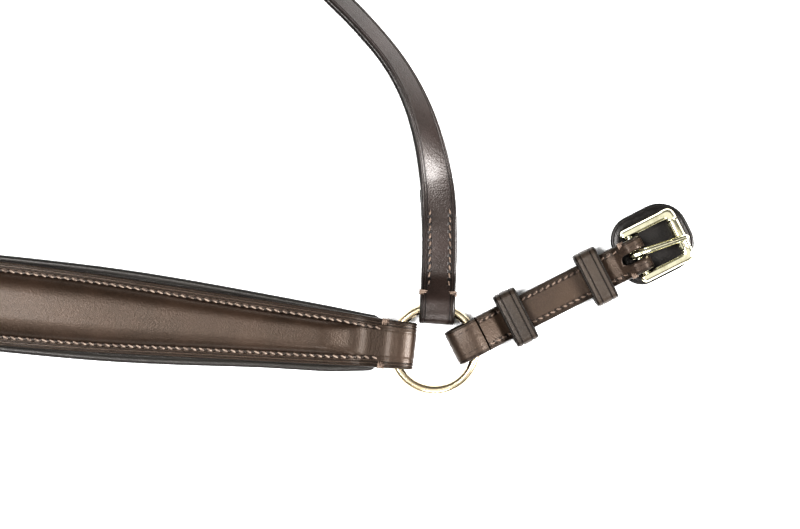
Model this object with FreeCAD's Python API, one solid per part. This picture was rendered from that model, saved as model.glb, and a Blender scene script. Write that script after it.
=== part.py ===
import FreeCAD, Part
import os
from math import ceil, cos, degrees, pi, radians, sin, sqrt, tan

# Breastplate martingale laid out flat, the way it is spread on a table before it goes on a horse.
# Lengths are in millimetres.  +Z is up, the table is z = 0, and +Y runs from the girth strap
# through the chest ring to the withers.  The pieces are first drawn about the chest ring's
# centre, and at the end everything is moved so that the origin is the middle of the footprint.

# ---- leather and table ----
PLY = 2.8                      # one thickness of bridle leather
DOUBLE = 2 * PLY               # two plies sewn together
SLACK = 0.35                   # clearance between a ring's wire and the leather round it
FLAP_TILT = 60.0               # how far a strap tips up on its ring, degrees

# ---- rings ----
WIRE_HEIGHT = 5.7              # height of every ring's centre plane above the table
CHEST_RING = 30.0              # radius of the chest ring's centreline
CHEST_WIRE = 2.5               # radius of its wire
SHOULDER_RING = 19.5
SHOULDER_WIRE = 2.2
REIN_RING = 17.0
REIN_WIRE = 2.0

# ---- padded shoulder pieces ----
SHOULDER_ANGLE = 38.1          # direction of the right piece from the chest ring, degrees from +X
SHOULDER_LENGTH = 430.0        # chest ring centre to shoulder ring centre
SHOULDER_LOOP = 21.5           # width of the leather loop at each ring
SHOULDER_FOLD = 10.3           # from the fold of that loop to the ring's centreline
LINING_START = 26.0            # from a ring's centre to the end of the lining
LINING_T = 2.6
FACE_T = 2.4
PAD_T = 4.7
CROWN_SKIN = 2.2

# ---- narrow straps ----
NECK_WIDTH = 16.6
NECK_FOLD = 8.1                # from the fold to the ring's centreline
NECK_START = (0.95, 11.3)      # fold of the neck strap from the shoulder ring's centre
NECK_HEADING = 87.3            # direction there, both before the shoulder piece is turned
NECK_RUNS = ((24.0, 0.0), (36.0, 7.0), (36.0, 13.7), (42.0, 22.0), (27.0, 6.0), (320.0, 0.0))
NECK_ROLL = 55.0               # the strap turns on to its outer edge by this much
NECK_ROLL_IN = (45.0, 140.0)   # where that roll grows
NECK_ROLL_OUT = (178.0, 246.0)  # and where it dies away again
NECK_LAP = (54.0, 64.0)        # the turned-back end thins away over this stretch
NECK_END_GAP = 12.0            # each half stops this far from the centre line

SADDLE_WIDTH = 17.0
SADDLE_START = (8.18, -0.36)   # middle of its fold from the shoulder ring's centre
SADDLE_HEADING = 26.9
SADDLE_BAR = 97.8              # from the ring fold to the buckle's bar
KEEPER_AT = (33.6, 75.6)       # middle of each keeper from the ring fold
VIEW_TURN = 44.0               # the right side's straps are drawn, then turned by this much

GIRTH_WIDTH = 25.0
GIRTH_FOLD = 9.4
GIRTH_LENGTH = 470.0
GIRTH_DOUBLE = 68.0
GIRTH_BAR = 150.0

FORK_TRUNK = 16.0
FORK_BRANCH = 15.0
FORK_FOLD = 7.9
FORK_ANGLE = 9.0
FORK_LENGTH = 268.0            # chest ring's centre to each rein ring's centre
FORK_SPLIT = 78.0
REIN_FOLD = 7.6

# ---- buckles ----
BAR_R = 1.8                    # hinge bar under the leather
BAR_ROOM = 2.15                # radius of the leather's fold round it
FOLD_PAST_BAR = 5.0
FRAME_REACH = 24.3             # from the bar's axis to the frame's outer end
FRAME_T = 3.6
FRAME_SIDE = 4.35
FRAME_PLAY = 0.55              # gap between the strap's edge and the frame's side
ROLLER_AT = 21.6
ROLLER_R = 2.8
ROLLER_BORE = 1.6
ROLLER_PIN = 1.5
TONGUE_R = 1.15
TONGUE_TIP = 25.3
KNUCKLE_R = 3.5
KNUCKLE_BORE = 1.88
KNUCKLE_WIDTH = 3.3

# ---- keepers and guard ----
KEEPER_LENGTH = 11.2
KEEPER_T = 1.6
KEEPER_GAP = 5.0               # free height over the strap
KEEPER_SIDE = 4.85             # how much wider than the strap the keeper is, each side
GUARD_T = 2.0

# ---- thread ----
THREAD_W = 0.9
THREAD_T = 0.5


def vector(x, y, z=0.0):
    return FreeCAD.Vector(x, y, z)


def rounded_face(corners):
    """Flat face in XY.  Each corner is (x, y, radius), rounded by an arc tangent to both sides."""
    points = [vector(x, y) for x, y, _ in corners]
    starts, middles, ends = [], [], []
    for i, (_, _, radius) in enumerate(corners):
        here = points[i]
        back = (points[i - 1] - here).normalize()
        ahead = (points[(i + 1) % len(points)] - here).normalize()
        half = back.getAngle(ahead) / 2
        reach = radius / tan(half)
        starts.append(here + back * reach)
        ends.append(here + ahead * reach)
        middles.append(here + (back + ahead).normalize() * (radius / sin(half) - radius))
    edges = []
    for i, (_, _, radius) in enumerate(corners):
        if (starts[i] - ends[i - 1]).Length > 1e-5:
            edges.append(Part.makeLine(ends[i - 1], starts[i]))
        if radius > 0:
            edges.append(Part.Arc(starts[i], middles[i], ends[i]).toShape())
    return Part.Face(Part.Wire(edges))


def prism(corners, low, high):
    """The rounded outline in XY, from z = low to z = high."""
    face = rounded_face(corners)
    face.translate(vector(0, 0, low))
    return face.extrude(vector(0, 0, high - low))


def side_prism(corners, width):
    """The rounded outline stood up in XZ and carried across Y, centred on y = 0."""
    shape = prism(corners, -width / 2, width / 2)
    shape.rotate(vector(0, 0, 0), vector(1, 0, 0), 90)
    return shape


def end_prism(corners, length):
    """The rounded outline stood up in YZ and carried along X, centred on x = 0."""
    shape = prism(corners, -length / 2, length / 2)
    shape.rotate(vector(0, 0, 0), vector(1, 1, 1), 120)
    return shape


def box(x0, x1, y0, y1, z0, z1):
    return Part.makeBox(x1 - x0, y1 - y0, z1 - z0, vector(x0, y0, z0))


def placed(shape, x, y, heading):
    """A copy of a shape drawn along +X, turned to a heading in degrees and moved to x, y."""
    copy = shape.copy()
    copy.Placement = FreeCAD.Placement(vector(x, y), FreeCAD.Rotation(vector(0, 0, 1), heading)) * copy.Placement
    return copy


def turned(x, y, angle):
    """A point turned about the origin."""
    a = radians(angle)
    return x * cos(a) - y * sin(a), x * sin(a) + y * cos(a)


def ring(radius, wire):
    return Part.makeTorus(radius, wire, vector(0, 0, WIRE_HEIGHT))


def wire_bow(radius, width):
    """How far a ring bows away from straight across a strap of this width."""
    return radius - sqrt(radius ** 2 - (width / 2) ** 2)


# ---------------------------------------------------------------------------------------------
# Loops round rings, drawn along +X with the fold at x = 0
# ---------------------------------------------------------------------------------------------

def loop_sizes(radius, wire, width, fold, tips):
    """Start and end of the space round the wire along the strap, and the loop's full height."""
    lift = wire_bow(radius, width) * sin(radians(FLAP_TILT)) if tips else 0.0
    inner_edge = sqrt((radius - wire) ** 2 - (width / 2) ** 2)
    start = fold - (radius - inner_edge) - SLACK
    end = fold + wire + SLACK + 0.25
    return start, end, WIRE_HEIGHT + wire + SLACK + lift + PLY


def loop_space(start, end, height, width):
    """The space round the wire, a rounded slot right across the strap."""
    corner = 2.6
    corners = [(start, PLY, corner), (end, PLY, corner), (end, height - PLY, corner), (start, height - PLY, corner)]
    return side_prism(corners, width + 2)


def loop_top(end, height, top):
    """Corners over the loop, from the fold down to the doubled strap's upper face."""
    return [(end + 6.5, top, 4.0), (end + 0.8, height, 4.0), (0.0, height, 5.0), (0.0, 0.0, 5.0)]


# ---------------------------------------------------------------------------------------------
# Buckle end of a strap, drawn with the hinge bar on x = 0 and the strap running towards -X
# ---------------------------------------------------------------------------------------------

def bar_height(base):
    return base + PLY + BAR_ROOM


def buckle_end(width, base, length, foot):
    """Doubled strap folded round the bar; it lies on foot and rises to base near the buckle."""
    top = bar_height(base) + BAR_ROOM + PLY
    rises = base > foot
    corners = [(-length, foot, 0)]
    corners += [(-13.9, foot, 2.5), (-10.4, base, 2.5)] if rises else []
    corners += [(FOLD_PAST_BAR, base, 4.6), (FOLD_PAST_BAR, top, 4.6), (-3.6, top, 2.6), (-8.4, base + DOUBLE, 2.6)]
    corners += [(-13.9, foot + DOUBLE, 3.0)] if rises else []
    corners += [(-length, foot + DOUBLE, 0)]
    strap = side_prism(corners, width)
    bar_space = Part.makeCylinder(BAR_ROOM, width + 2, vector(0, -width / 2 - 1, bar_height(base)), vector(0, 1, 0))
    slot = prism([(-8.5, -2.2, 2.1), (7.0, -2.2, 0), (7.0, 2.6, 0), (-8.5, 2.6, 2.1)], base - 1, top + 1)
    return strap.cut(bar_space).cut(slot)


def buckle_frame(width, base):
    """Frame of side bars, a round hinge bar and a thinner round pin for the roller."""
    inner = width / 2 + FRAME_PLAY
    outer = inner + FRAME_SIDE
    z = bar_height(base)
    corners = [(-2.0, -outer, 2.0), (FRAME_REACH, -outer, 5.5), (FRAME_REACH, outer, 5.5), (-2.0, outer, 2.0)]
    plate = prism(corners, z - FRAME_T / 2, z + FRAME_T / 2)
    plate = plate.makeChamfer(0.7, [e for e in plate.Edges if abs(e.BoundBox.ZLength) < 1e-6])
    roller_half = width / 2 - 1.45
    window = [(-6.0, -inner, 0), (ROLLER_AT - 3.5, -inner, 2.0), (ROLLER_AT - 3.5, inner, 2.0), (-6.0, inner, 0)]
    plate = plate.cut(prism(window, z - 5, z + 5))
    plate = plate.cut(box(16.0, 30.0, -roller_half, roller_half, z - 5, z + 5))
    bar = Part.makeCylinder(BAR_R, 2 * inner + 2, vector(0, -inner - 1, z), vector(0, 1, 0))
    pin = Part.makeCylinder(ROLLER_PIN, 2 * roller_half + 2, vector(ROLLER_AT, -roller_half - 1, z), vector(0, 1, 0))
    return plate.fuse([bar, pin]).removeSplitter()


def buckle_roller(width, base):
    half = width / 2 - 1.75
    z = bar_height(base)
    shell = Part.makeCylinder(ROLLER_R, 2 * half, vector(ROLLER_AT, -half, z), vector(0, 1, 0))
    shell = shell.makeFillet(0.5, [e for e in shell.Edges if abs(e.BoundBox.YLength) < 1e-6])
    return shell.cut(Part.makeCylinder(ROLLER_BORE, 2 * half, vector(ROLLER_AT, -half, z), vector(0, 1, 0)))


def buckle_tongue(base):
    """Round prong from a knuckle on the bar, a little skewed, to a tip over the roller."""
    z = bar_height(base)
    root = vector(0.0, 0.6, z + 2.7)
    tip = vector(TONGUE_TIP, -2.8, z + ROLLER_R + TONGUE_R + 0.45)
    prong = Part.makeCylinder(TONGUE_R, (tip - root).Length, root, tip - root)
    prong = prong.fuse(Part.makeSphere(TONGUE_R, tip))
    knuckle = Part.makeCylinder(KNUCKLE_R, KNUCKLE_WIDTH, vector(0, 0.3 - KNUCKLE_WIDTH / 2, z), vector(0, 1, 0))
    hole = Part.makeCylinder(KNUCKLE_BORE, KNUCKLE_WIDTH + 2, vector(0, -0.7 - KNUCKLE_WIDTH / 2, z), vector(0, 1, 0))
    return knuckle.fuse(prong).cut(hole)


def keeper(width, base):
    """Closed band; its lower run lies between the strap's two plies, its upper run stands clear."""
    half = width / 2 + KEEPER_SIDE
    low = base + PLY - KEEPER_T / 2
    high = base + DOUBLE + KEEPER_GAP + KEEPER_T
    outer = [(-half, low, 2.2), (half, low, 2.2), (half, high, 3.6), (-half, high, 3.6)]
    t = KEEPER_T
    inner = [(-half + t, low + t, 0.8), (half - t, low + t, 0.8), (half - t, high - t, 2.0), (-half + t, high - t, 2.0)]
    return end_prism(outer, KEEPER_LENGTH).cut(end_prism(inner, KEEPER_LENGTH + 2))


def thread_rows(x0, x1, half, top):
    """Two straight rows of thread on the upper face, as low bars."""
    rows = [box(x0, x1, side * half - THREAD_W / 2, side * half + THREAD_W / 2, top, top + THREAD_T) for side in (-1, 1)]
    return Part.makeCompound(rows)


# ---------------------------------------------------------------------------------------------
# Padded shoulder piece, drawn along +X from the shoulder ring's centre to the chest ring's centre
# ---------------------------------------------------------------------------------------------

def chest_offset():
    """The chest ring is larger, so its loop and the lining's far end stand further from its centre."""
    return CHEST_RING - SHOULDER_RING


def shoulder_outline(start, end_half, mid_half, shoulder, corner, bend):
    """Long symmetric outline: it widens evenly from start to shoulder, then stays mid_half wide."""
    far = SHOULDER_LENGTH - chest_offset()
    near_side = [(start, -end_half, corner), (shoulder, -mid_half, bend)]
    near_side += [(far - shoulder, -mid_half, bend), (far - start, -end_half, corner)]
    return near_side + [(x, -y, r) for x, y, r in reversed(near_side)]


def shoulder_loop(radius, wire):
    """Loop at a ring in the origin: full height over the wire, then down on to the face leather."""
    start, end, height = loop_sizes(radius, wire, SHOULDER_LOOP, SHOULDER_FOLD, False)
    flange = LINING_T + FACE_T
    step = LINING_START - 0.3 - (SHOULDER_RING - SHOULDER_FOLD)
    corners = [(0, 0, 5.0), (step, 0, 0), (step, LINING_T, 0), (step + 22, LINING_T, 0), (step + 22, flange, 0)]
    corners += [(end + 8.5, flange, 4.0), (end + 0.8, height, 4.0), (0, height, 5.0)]
    shape = side_prism(corners, SHOULDER_LOOP).cut(loop_space(start, end, height, SHOULDER_LOOP))
    shape.translate(vector(radius - SHOULDER_FOLD, 0, 0))
    return shape


def shoulder_lining():
    return prism(shoulder_outline(LINING_START, 12.6, 22.8, 145.0, 4.0, 900.0), 0, LINING_T)


def shoulder_padding():
    return prism(shoulder_outline(40.0, 4.8, 12.1, 179.0, 2.5, 700.0), LINING_T, LINING_T + PAD_T)


def shoulder_face():
    flange = prism(shoulder_outline(LINING_START, 11.7, 19.9, 193.0, 3.0, 600.0), LINING_T, LINING_T + FACE_T)
    crown = prism(shoulder_outline(37.0, 6.6, 14.1, 179.0, 3.5, 700.0), LINING_T, LINING_T + PAD_T + CROWN_SKIN)
    rim = [e for e in crown.Edges if e.BoundBox.ZMin > LINING_T + PAD_T]
    crown = crown.makeFillet(2.6, rim)
    near = shoulder_loop(SHOULDER_RING, SHOULDER_WIRE)
    far = shoulder_loop(CHEST_RING, CHEST_WIRE)
    far.rotate(vector(0, 0, 0), vector(0, 0, 1), 180)
    far.translate(vector(SHOULDER_LENGTH, 0, 0))
    return flange.fuse([crown, near, far]).removeSplitter().cut(shoulder_padding())


def shoulder_thread():
    """A row of thread beside each edge of the crown."""
    low = LINING_T + FACE_T
    half = THREAD_W / 2
    outer = prism(shoulder_outline(26.0, 7.9 + half, 15.6 + half, 179.0, 1.0, 700.0), low, low + THREAD_T)
    inner = prism(shoulder_outline(26.0, 7.9 - half, 15.6 - half, 179.0, 1.0, 700.0), low, low + THREAD_T)
    start = 36.0
    rows = outer.cut(inner).common(box(start, SHOULDER_LENGTH - start - chest_offset(), -40, 40, 0, 20))
    return Part.makeCompound(rows.Solids)


# ---------------------------------------------------------------------------------------------
# Neck strap: straight runs and arcs, rolled on to its outer edge where it bends
# ---------------------------------------------------------------------------------------------

def along_neck(distance):
    """Point and heading at a distance from the fold along the neck strap's centre line."""
    x, y = NECK_START
    heading = NECK_HEADING
    left = distance
    for length, turn in NECK_RUNS:
        step = min(left, length)
        angle = radians(turn) * step / length
        direction = radians(heading)
        if abs(angle) < 1e-9:
            x += step * cos(direction)
            y += step * sin(direction)
        else:
            radius = step / angle
            x += radius * (sin(direction + angle) - sin(direction))
            y += radius * (cos(direction) - cos(direction + angle))
        heading += degrees(angle)
        left -= step
        if left <= 0:
            break
    return x, y, heading


def neck_roll(distance):
    """Roll in degrees: eased in along the bend and eased out again on the straight."""
    grow = min(max((distance - NECK_ROLL_IN[0]) / (NECK_ROLL_IN[1] - NECK_ROLL_IN[0]), 0), 1)
    fade = min(max((distance - NECK_ROLL_OUT[0]) / (NECK_ROLL_OUT[1] - NECK_ROLL_OUT[0]), 0), 1)
    return NECK_ROLL * sin(grow * pi / 2) * (1 + cos(fade * pi)) / 2


def neck_thickness(distance):
    fade = min(max((distance - NECK_LAP[0]) / (NECK_LAP[1] - NECK_LAP[0]), 0), 1)
    return DOUBLE - PLY * fade


def neck_section(distance, right, left, low, high):
    """Four-sided section of the rolled strap, from right to left across and low to high through."""
    x, y, heading = along_neck(distance)
    roll = radians(neck_roll(distance))
    side = vector(-sin(radians(heading)), cos(radians(heading)))
    across = side * cos(roll) + vector(0, 0, sin(roll))
    through = vector(0, 0, cos(roll)) - side * sin(roll)
    lift = NECK_WIDTH / 2 * sin(roll)
    centre = vector(x, y, lift) + side * (neck_thickness(distance) / 2 * sin(roll))
    corners = [centre + across * v + through * n for v, n in ((right, low), (left, low), (left, high), (right, high))]
    return Part.makePolygon(corners + corners[:1])


def neck_bar(stations, half_widths, middle, lows, highs):
    """Ruled solid through sections of the neck strap."""
    sections = []
    for distance, half, low, high in zip(stations, half_widths, lows, highs):
        sections.append(neck_section(distance, middle - half, middle + half, low, high))
    return Part.makeLoft(sections, True, True)


def spaced(start, end, step):
    count = max(1, ceil((end - start) / step - 1e-6))
    return [start + (end - start) * i / count for i in range(count + 1)]


def neck_loop():
    start, end, height = loop_sizes(SHOULDER_RING, SHOULDER_WIRE, NECK_WIDTH, NECK_FOLD, True)
    corners = [(24.0, 0, 0), (24.0, DOUBLE, 0)] + loop_top(end, height, DOUBLE)
    shape = side_prism(corners, NECK_WIDTH).cut(loop_space(start, end, height, NECK_WIDTH))
    return placed(shape, *NECK_START, NECK_HEADING)


def neck_body(length, tip):
    """The strap beyond its loop, to a square end, or to a point where tip is its length."""
    curved = spaced(24.0, NECK_LAP[0], 10.0) + spaced(NECK_LAP[0], NECK_ROLL_OUT[1], 8.0)[1:]
    stations = curved + [length - tip] + ([length - tip * 0.35, length] if tip else [])
    halves = [NECK_WIDTH / 2] * (len(curved) + 1) + ([NECK_WIDTH / 2 * 0.72, 2.2] if tip else [])
    highs = [neck_thickness(d) for d in stations]
    return neck_bar(stations, halves, 0.0, [0.0] * len(stations), highs)


def neck_thread():
    stations = spaced(24.0, NECK_LAP[0], 10.0)
    size = len(stations)
    lows = [DOUBLE] * size
    highs = [DOUBLE + THREAD_T] * size
    rows = [neck_bar(stations, [THREAD_W / 2] * size, side * 5.0, lows, highs) for side in (-1, 1)]
    return Part.makeCompound(rows)


def neck_reach():
    """Distance along the strap at which it gets to the centre line of the whole martingale."""
    straight_from = sum(length for length, _ in NECK_RUNS[:-1])
    x, y, heading = along_neck(straight_from)
    x, _ = turned(x, y, VIEW_TURN)
    ring_x, _ = shoulder_ring_centre()
    return straight_from + (ring_x + x) / -cos(radians(heading + VIEW_TURN))


def neck_billet():
    """Half with the pointed end and its punched holes."""
    length = neck_reach() - NECK_END_GAP
    strap = neck_loop().fuse(neck_body(length, 14.0))
    for i in range(4):
        x, y, _ = along_neck(length - 26.0 - 18.0 * i)
        strap = strap.cut(Part.makeCylinder(2.0, 12, vector(x, y, -1)))
    return strap.removeSplitter()


def neck_buckle_bar():
    return neck_reach() - NECK_END_GAP - FRAME_REACH - 1.0


def neck_buckle_strap():
    """Half that ends in a buckle: it is doubled again along the last stretch."""
    bar = neck_buckle_bar()
    end = buckle_end(NECK_WIDTH, 0.0, 78.0, 0.0)
    strap = neck_loop().fuse(neck_body(bar - 70.0, 0))
    return strap.fuse(placed(end, *along_neck(bar))).removeSplitter()


# ---------------------------------------------------------------------------------------------
# Saddle strap, drawn along +X with the ring fold at x = 0
# ---------------------------------------------------------------------------------------------

def saddle_strap():
    slant = 1.9                # the wire crosses this strap at a slant, so its space is longer
    _, _, height = loop_sizes(SHOULDER_RING, SHOULDER_WIRE, SADDLE_WIDTH, NECK_FOLD, True)
    start = 3.4
    end = 13.6 + slant
    corners = [(40.0, 0, 0), (40.0, DOUBLE, 0)] + loop_top(end, height, DOUBLE)
    ring_end = side_prism(corners, SADDLE_WIDTH).cut(loop_space(start, end, height, SADDLE_WIDTH))
    far_end = buckle_end(SADDLE_WIDTH, GUARD_T, SADDLE_BAR - 40.0, 0.0)
    far_end.translate(vector(SADDLE_BAR, 0, 0))
    strap = ring_end.fuse(far_end).removeSplitter()
    for at in KEEPER_AT:
        band = keeper(SADDLE_WIDTH, 0.0)
        band.translate(vector(at, 0, 0))
        strap = strap.cut(band)
    return strap


def saddle_keeper(at):
    band = keeper(SADDLE_WIDTH, 0.0)
    band.translate(vector(at, 0, 0))
    return band


def saddle_guard():
    """Leather patch under the buckle with a rounded outer end."""
    x0 = SADDLE_BAR - 9.1
    x1 = SADDLE_BAR + 27.2
    return prism([(x0, -14.6, 7.0), (x1, -14.6, 13.5), (x1, 18.4, 13.5), (x0, 18.4, 7.0)], 0, GUARD_T)


# ---------------------------------------------------------------------------------------------
# Girth strap and fork, drawn along +X from the chest ring's centre
# ---------------------------------------------------------------------------------------------

def girth_strap():
    fold_x = CHEST_RING - GIRTH_FOLD
    start, end, height = loop_sizes(CHEST_RING, CHEST_WIRE, GIRTH_WIDTH, GIRTH_FOLD, True)
    corners = [(GIRTH_DOUBLE + 6, 0, 0), (GIRTH_DOUBLE + 6, PLY, 0), (GIRTH_DOUBLE, DOUBLE, 0)]
    loop = side_prism(corners + loop_top(end, height, DOUBLE), GIRTH_WIDTH)
    loop = loop.cut(loop_space(start, end, height, GIRTH_WIDTH))
    loop.translate(vector(fold_x, 0, 0))
    half = GIRTH_WIDTH / 2
    far = GIRTH_LENGTH
    outline = [(fold_x + GIRTH_DOUBLE, -half, 0), (far - 22, -half, 14.0), (far, -3.0, 3.0)]
    outline += [(x, -y, r) for x, y, r in reversed(outline)]
    strap = loop.fuse(prism(outline, 0, PLY))
    for i in range(6):
        strap = strap.cut(Part.makeCylinder(2.4, 12, vector(far - 42.0 - 25.0 * i, 0, -1)))
    return strap.removeSplitter()


def girth_keeper(at):
    band = keeper(GIRTH_WIDTH, PLY)
    band.translate(vector(CHEST_RING - GIRTH_FOLD + GIRTH_BAR - at, 0, 0))
    return band


def girth_chape():
    """Short strap sewn on top of the girth strap to carry its buckle."""
    chape = buckle_end(GIRTH_WIDTH, PLY, 68.0, PLY)
    chape.translate(vector(CHEST_RING - GIRTH_FOLD + GIRTH_BAR, 0, 0))
    return chape.cut(girth_keeper(24.0)).cut(girth_keeper(52.0))


def girth_thread():
    fold_x = CHEST_RING - GIRTH_FOLD
    rows = thread_rows(fold_x + 24.0, fold_x + GIRTH_DOUBLE - 2.0, GIRTH_WIDTH / 2 - 3.0, DOUBLE).Solids
    bar_x = fold_x + GIRTH_BAR
    rows += thread_rows(bar_x - 66.0, bar_x - 12.0, GIRTH_WIDTH / 2 - 3.0, PLY + DOUBLE).Solids
    return Part.makeCompound(rows)


def fork_strap():
    """Trunk from the chest ring, split into two branches that each end round a rein ring."""
    fold_x = CHEST_RING - FORK_FOLD
    start, end, height = loop_sizes(CHEST_RING, CHEST_WIRE, FORK_TRUNK, FORK_FOLD, True)
    corners = [(FORK_SPLIT - fold_x, 0, 0), (FORK_SPLIT - fold_x, DOUBLE, 0)] + loop_top(end, height, DOUBLE)
    trunk = side_prism(corners, FORK_TRUNK).cut(loop_space(start, end, height, FORK_TRUNK))
    trunk.translate(vector(fold_x, 0, 0))
    pieces = [trunk]
    start, end, height = loop_sizes(REIN_RING, REIN_WIRE, FORK_BRANCH, REIN_FOLD, True)
    length = FORK_LENGTH - REIN_RING + REIN_FOLD - 52.0
    corners = [(length, 0, 0), (length, PLY, 0), (46.0, PLY, 2.0), (40.0, DOUBLE, 2.0)] + loop_top(end, height, DOUBLE)
    branch = side_prism(corners, FORK_BRANCH).cut(loop_space(start, end, height, FORK_BRANCH))
    reach = FORK_LENGTH - REIN_RING + REIN_FOLD
    for side in (-1, 1):
        x, y = turned(reach, 0, side * FORK_ANGLE)
        pieces.append(placed(branch, x, y, side * FORK_ANGLE + 180))
    return pieces[0].fuse(pieces[1:]).removeSplitter()


def fork_thread():
    return thread_rows(48.0, FORK_SPLIT - 2.0, FORK_TRUNK / 2 - 2.6, DOUBLE)


# ---------------------------------------------------------------------------------------------
# Places of the main pieces, about the chest ring's centre
# ---------------------------------------------------------------------------------------------

def shoulder_ring_centre():
    return turned(SHOULDER_LENGTH, 0, SHOULDER_ANGLE)


def from_right_ring(shape):
    """Puts a shape drawn about the right shoulder ring into place."""
    return placed(shape, *shoulder_ring_centre(), VIEW_TURN)


def on_saddle_strap(shape):
    return from_right_ring(placed(shape, *SADDLE_START, SADDLE_HEADING))


def on_neck_bar(shape):
    return from_right_ring(placed(shape, *along_neck(neck_buckle_bar())))


def downward(shape):
    """Puts a shape drawn along +X from the chest ring along the girth strap."""
    return placed(shape, 0, 0, -90)


def mirrored(shape):
    return shape.mirror(vector(0, 0, 0), vector(1, 0, 0))


def right_side():
    """Nodes that both sides have, on the right, where +X is."""
    ring_x, ring_y = shoulder_ring_centre()
    shoulder_parts = {
        "shoulder_lining": shoulder_lining(),
        "shoulder_padding": shoulder_padding(),
        "shoulder_face": shoulder_face(),
        "shoulder_thread": shoulder_thread(),
    }
    nodes = {name: placed(shape, ring_x, ring_y, SHOULDER_ANGLE + 180) for name, shape in shoulder_parts.items()}
    nodes["shoulder_ring"] = from_right_ring(ring(SHOULDER_RING, SHOULDER_WIRE))
    buckle_frame_shape = buckle_frame(SADDLE_WIDTH, GUARD_T)
    buckle_tongue_shape = buckle_tongue(GUARD_T)
    buckle_roller_shape = buckle_roller(SADDLE_WIDTH, GUARD_T)
    for shape in (buckle_frame_shape, buckle_tongue_shape, buckle_roller_shape):
        shape.translate(vector(SADDLE_BAR, 0, 0))
    saddle_parts = {
        "saddle_strap": saddle_strap(),
        "saddle_thread": thread_rows(25.0, 78.0, SADDLE_WIDTH / 2 - 2.6, DOUBLE),
        "saddle_keeper_inner": saddle_keeper(KEEPER_AT[0]),
        "saddle_keeper_outer": saddle_keeper(KEEPER_AT[1]),
        "saddle_buckle_guard": saddle_guard(),
        "saddle_buckle_frame": buckle_frame_shape,
        "saddle_buckle_tongue": buckle_tongue_shape,
        "saddle_buckle_roller": buckle_roller_shape,
    }
    nodes.update({name: on_saddle_strap(shape) for name, shape in saddle_parts.items()})
    return nodes


def neck_buckle_side():
    """Nodes of the half neck strap with the buckle, drawn on the right and mirrored later."""
    keepers = {}
    for name, at in (("neck_keeper_inner", 58.0), ("neck_keeper_outer", 24.0)):
        band = keeper(NECK_WIDTH, 0.0)
        band.translate(vector(-at, 0, 0))
        keepers[name] = on_neck_bar(band)
    strap = from_right_ring(neck_buckle_strap())
    for band in keepers.values():
        strap = strap.cut(band)
    nodes = {"neck_buckle_strap": strap, "neck_buckle_strap_thread": from_right_ring(neck_thread())}
    nodes.update(keepers)
    nodes["neck_buckle_frame"] = on_neck_bar(buckle_frame(NECK_WIDTH, 0.0))
    nodes["neck_buckle_tongue"] = on_neck_bar(buckle_tongue(0.0))
    nodes["neck_buckle_roller"] = on_neck_bar(buckle_roller(NECK_WIDTH, 0.0))
    return nodes


def girth_side():
    bar_x = CHEST_RING - GIRTH_FOLD + GIRTH_BAR
    nodes = {
        "girth_strap": girth_strap(),
        "girth_thread": girth_thread(),
        "girth_chape": girth_chape(),
        "girth_keeper_inner": girth_keeper(52.0),
        "girth_keeper_outer": girth_keeper(24.0),
        "girth_buckle_frame": placed(buckle_frame(GIRTH_WIDTH, PLY), bar_x, 0, 0),
        "girth_buckle_tongue": placed(buckle_tongue(PLY), bar_x, 0, 0),
        "girth_buckle_roller": placed(buckle_roller(GIRTH_WIDTH, PLY), bar_x, 0, 0),
    }
    return {name: downward(shape) for name, shape in nodes.items()}


def fork_side():
    nodes = {"fork_strap": placed(fork_strap(), 0, 0, 90), "fork_thread": placed(fork_thread(), 0, 0, 90)}
    for name, side in (("right_rein_ring", -1), ("left_rein_ring", 1)):
        x, y = turned(FORK_LENGTH, 0, 90 + side * FORK_ANGLE)
        nodes[name] = placed(ring(REIN_RING, REIN_WIRE), x, y, 0)
    return nodes


def all_nodes():
    nodes = {"chest_ring": ring(CHEST_RING, CHEST_WIRE)}
    right = right_side()
    nodes.update({"right_" + name: shape for name, shape in right.items()})
    nodes.update({"left_" + name: mirrored(shape) for name, shape in right.items()})
    nodes["neck_billet_strap"] = from_right_ring(neck_billet())
    nodes["neck_billet_strap_thread"] = from_right_ring(neck_thread())
    nodes.update({name: mirrored(shape) for name, shape in neck_buckle_side().items()})
    nodes.update(girth_side())
    nodes.update(fork_side())
    return nodes


NODES = all_nodes()
WHOLE = FreeCAD.BoundBox()
for node_shape in NODES.values():
    WHOLE.add(node_shape.optimalBoundingBox(False))
SHIFT = vector(-WHOLE.Center.x, -WHOLE.Center.y, -WHOLE.ZMin)

os.makedirs("parts", exist_ok=True)
for node_name, node_shape in NODES.items():
    node_shape.translate(SHIFT)
    node_shape.exportStep("parts/" + node_name + ".step")
    print(node_name, node_shape.isValid(), len(node_shape.Solids), round(node_shape.Volume, 1))
print("size", round(WHOLE.XLength, 1), round(WHOLE.YLength, 1), round(WHOLE.ZLength, 1), "shift", SHIFT)
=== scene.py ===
from math import atan2, ceil, cos, degrees, pi, radians, sin, sqrt

import bpy
import numpy as np
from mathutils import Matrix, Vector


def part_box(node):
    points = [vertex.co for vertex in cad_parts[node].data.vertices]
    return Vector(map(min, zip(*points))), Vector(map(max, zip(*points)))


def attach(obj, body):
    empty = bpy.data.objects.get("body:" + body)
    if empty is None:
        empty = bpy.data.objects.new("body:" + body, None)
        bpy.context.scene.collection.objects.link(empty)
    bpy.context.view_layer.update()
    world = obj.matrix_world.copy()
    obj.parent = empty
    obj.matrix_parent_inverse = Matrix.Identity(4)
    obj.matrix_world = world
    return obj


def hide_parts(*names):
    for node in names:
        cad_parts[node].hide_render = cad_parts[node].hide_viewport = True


# Breastplate martingale spread on a table: rings, padded shoulder pieces, neck strap, saddle
# straps, girth strap and rein fork, put together in that order.  Sizes are in millimetres, and a
# mesh turns them into metres.  The left side is the right side with x reversed.

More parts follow.
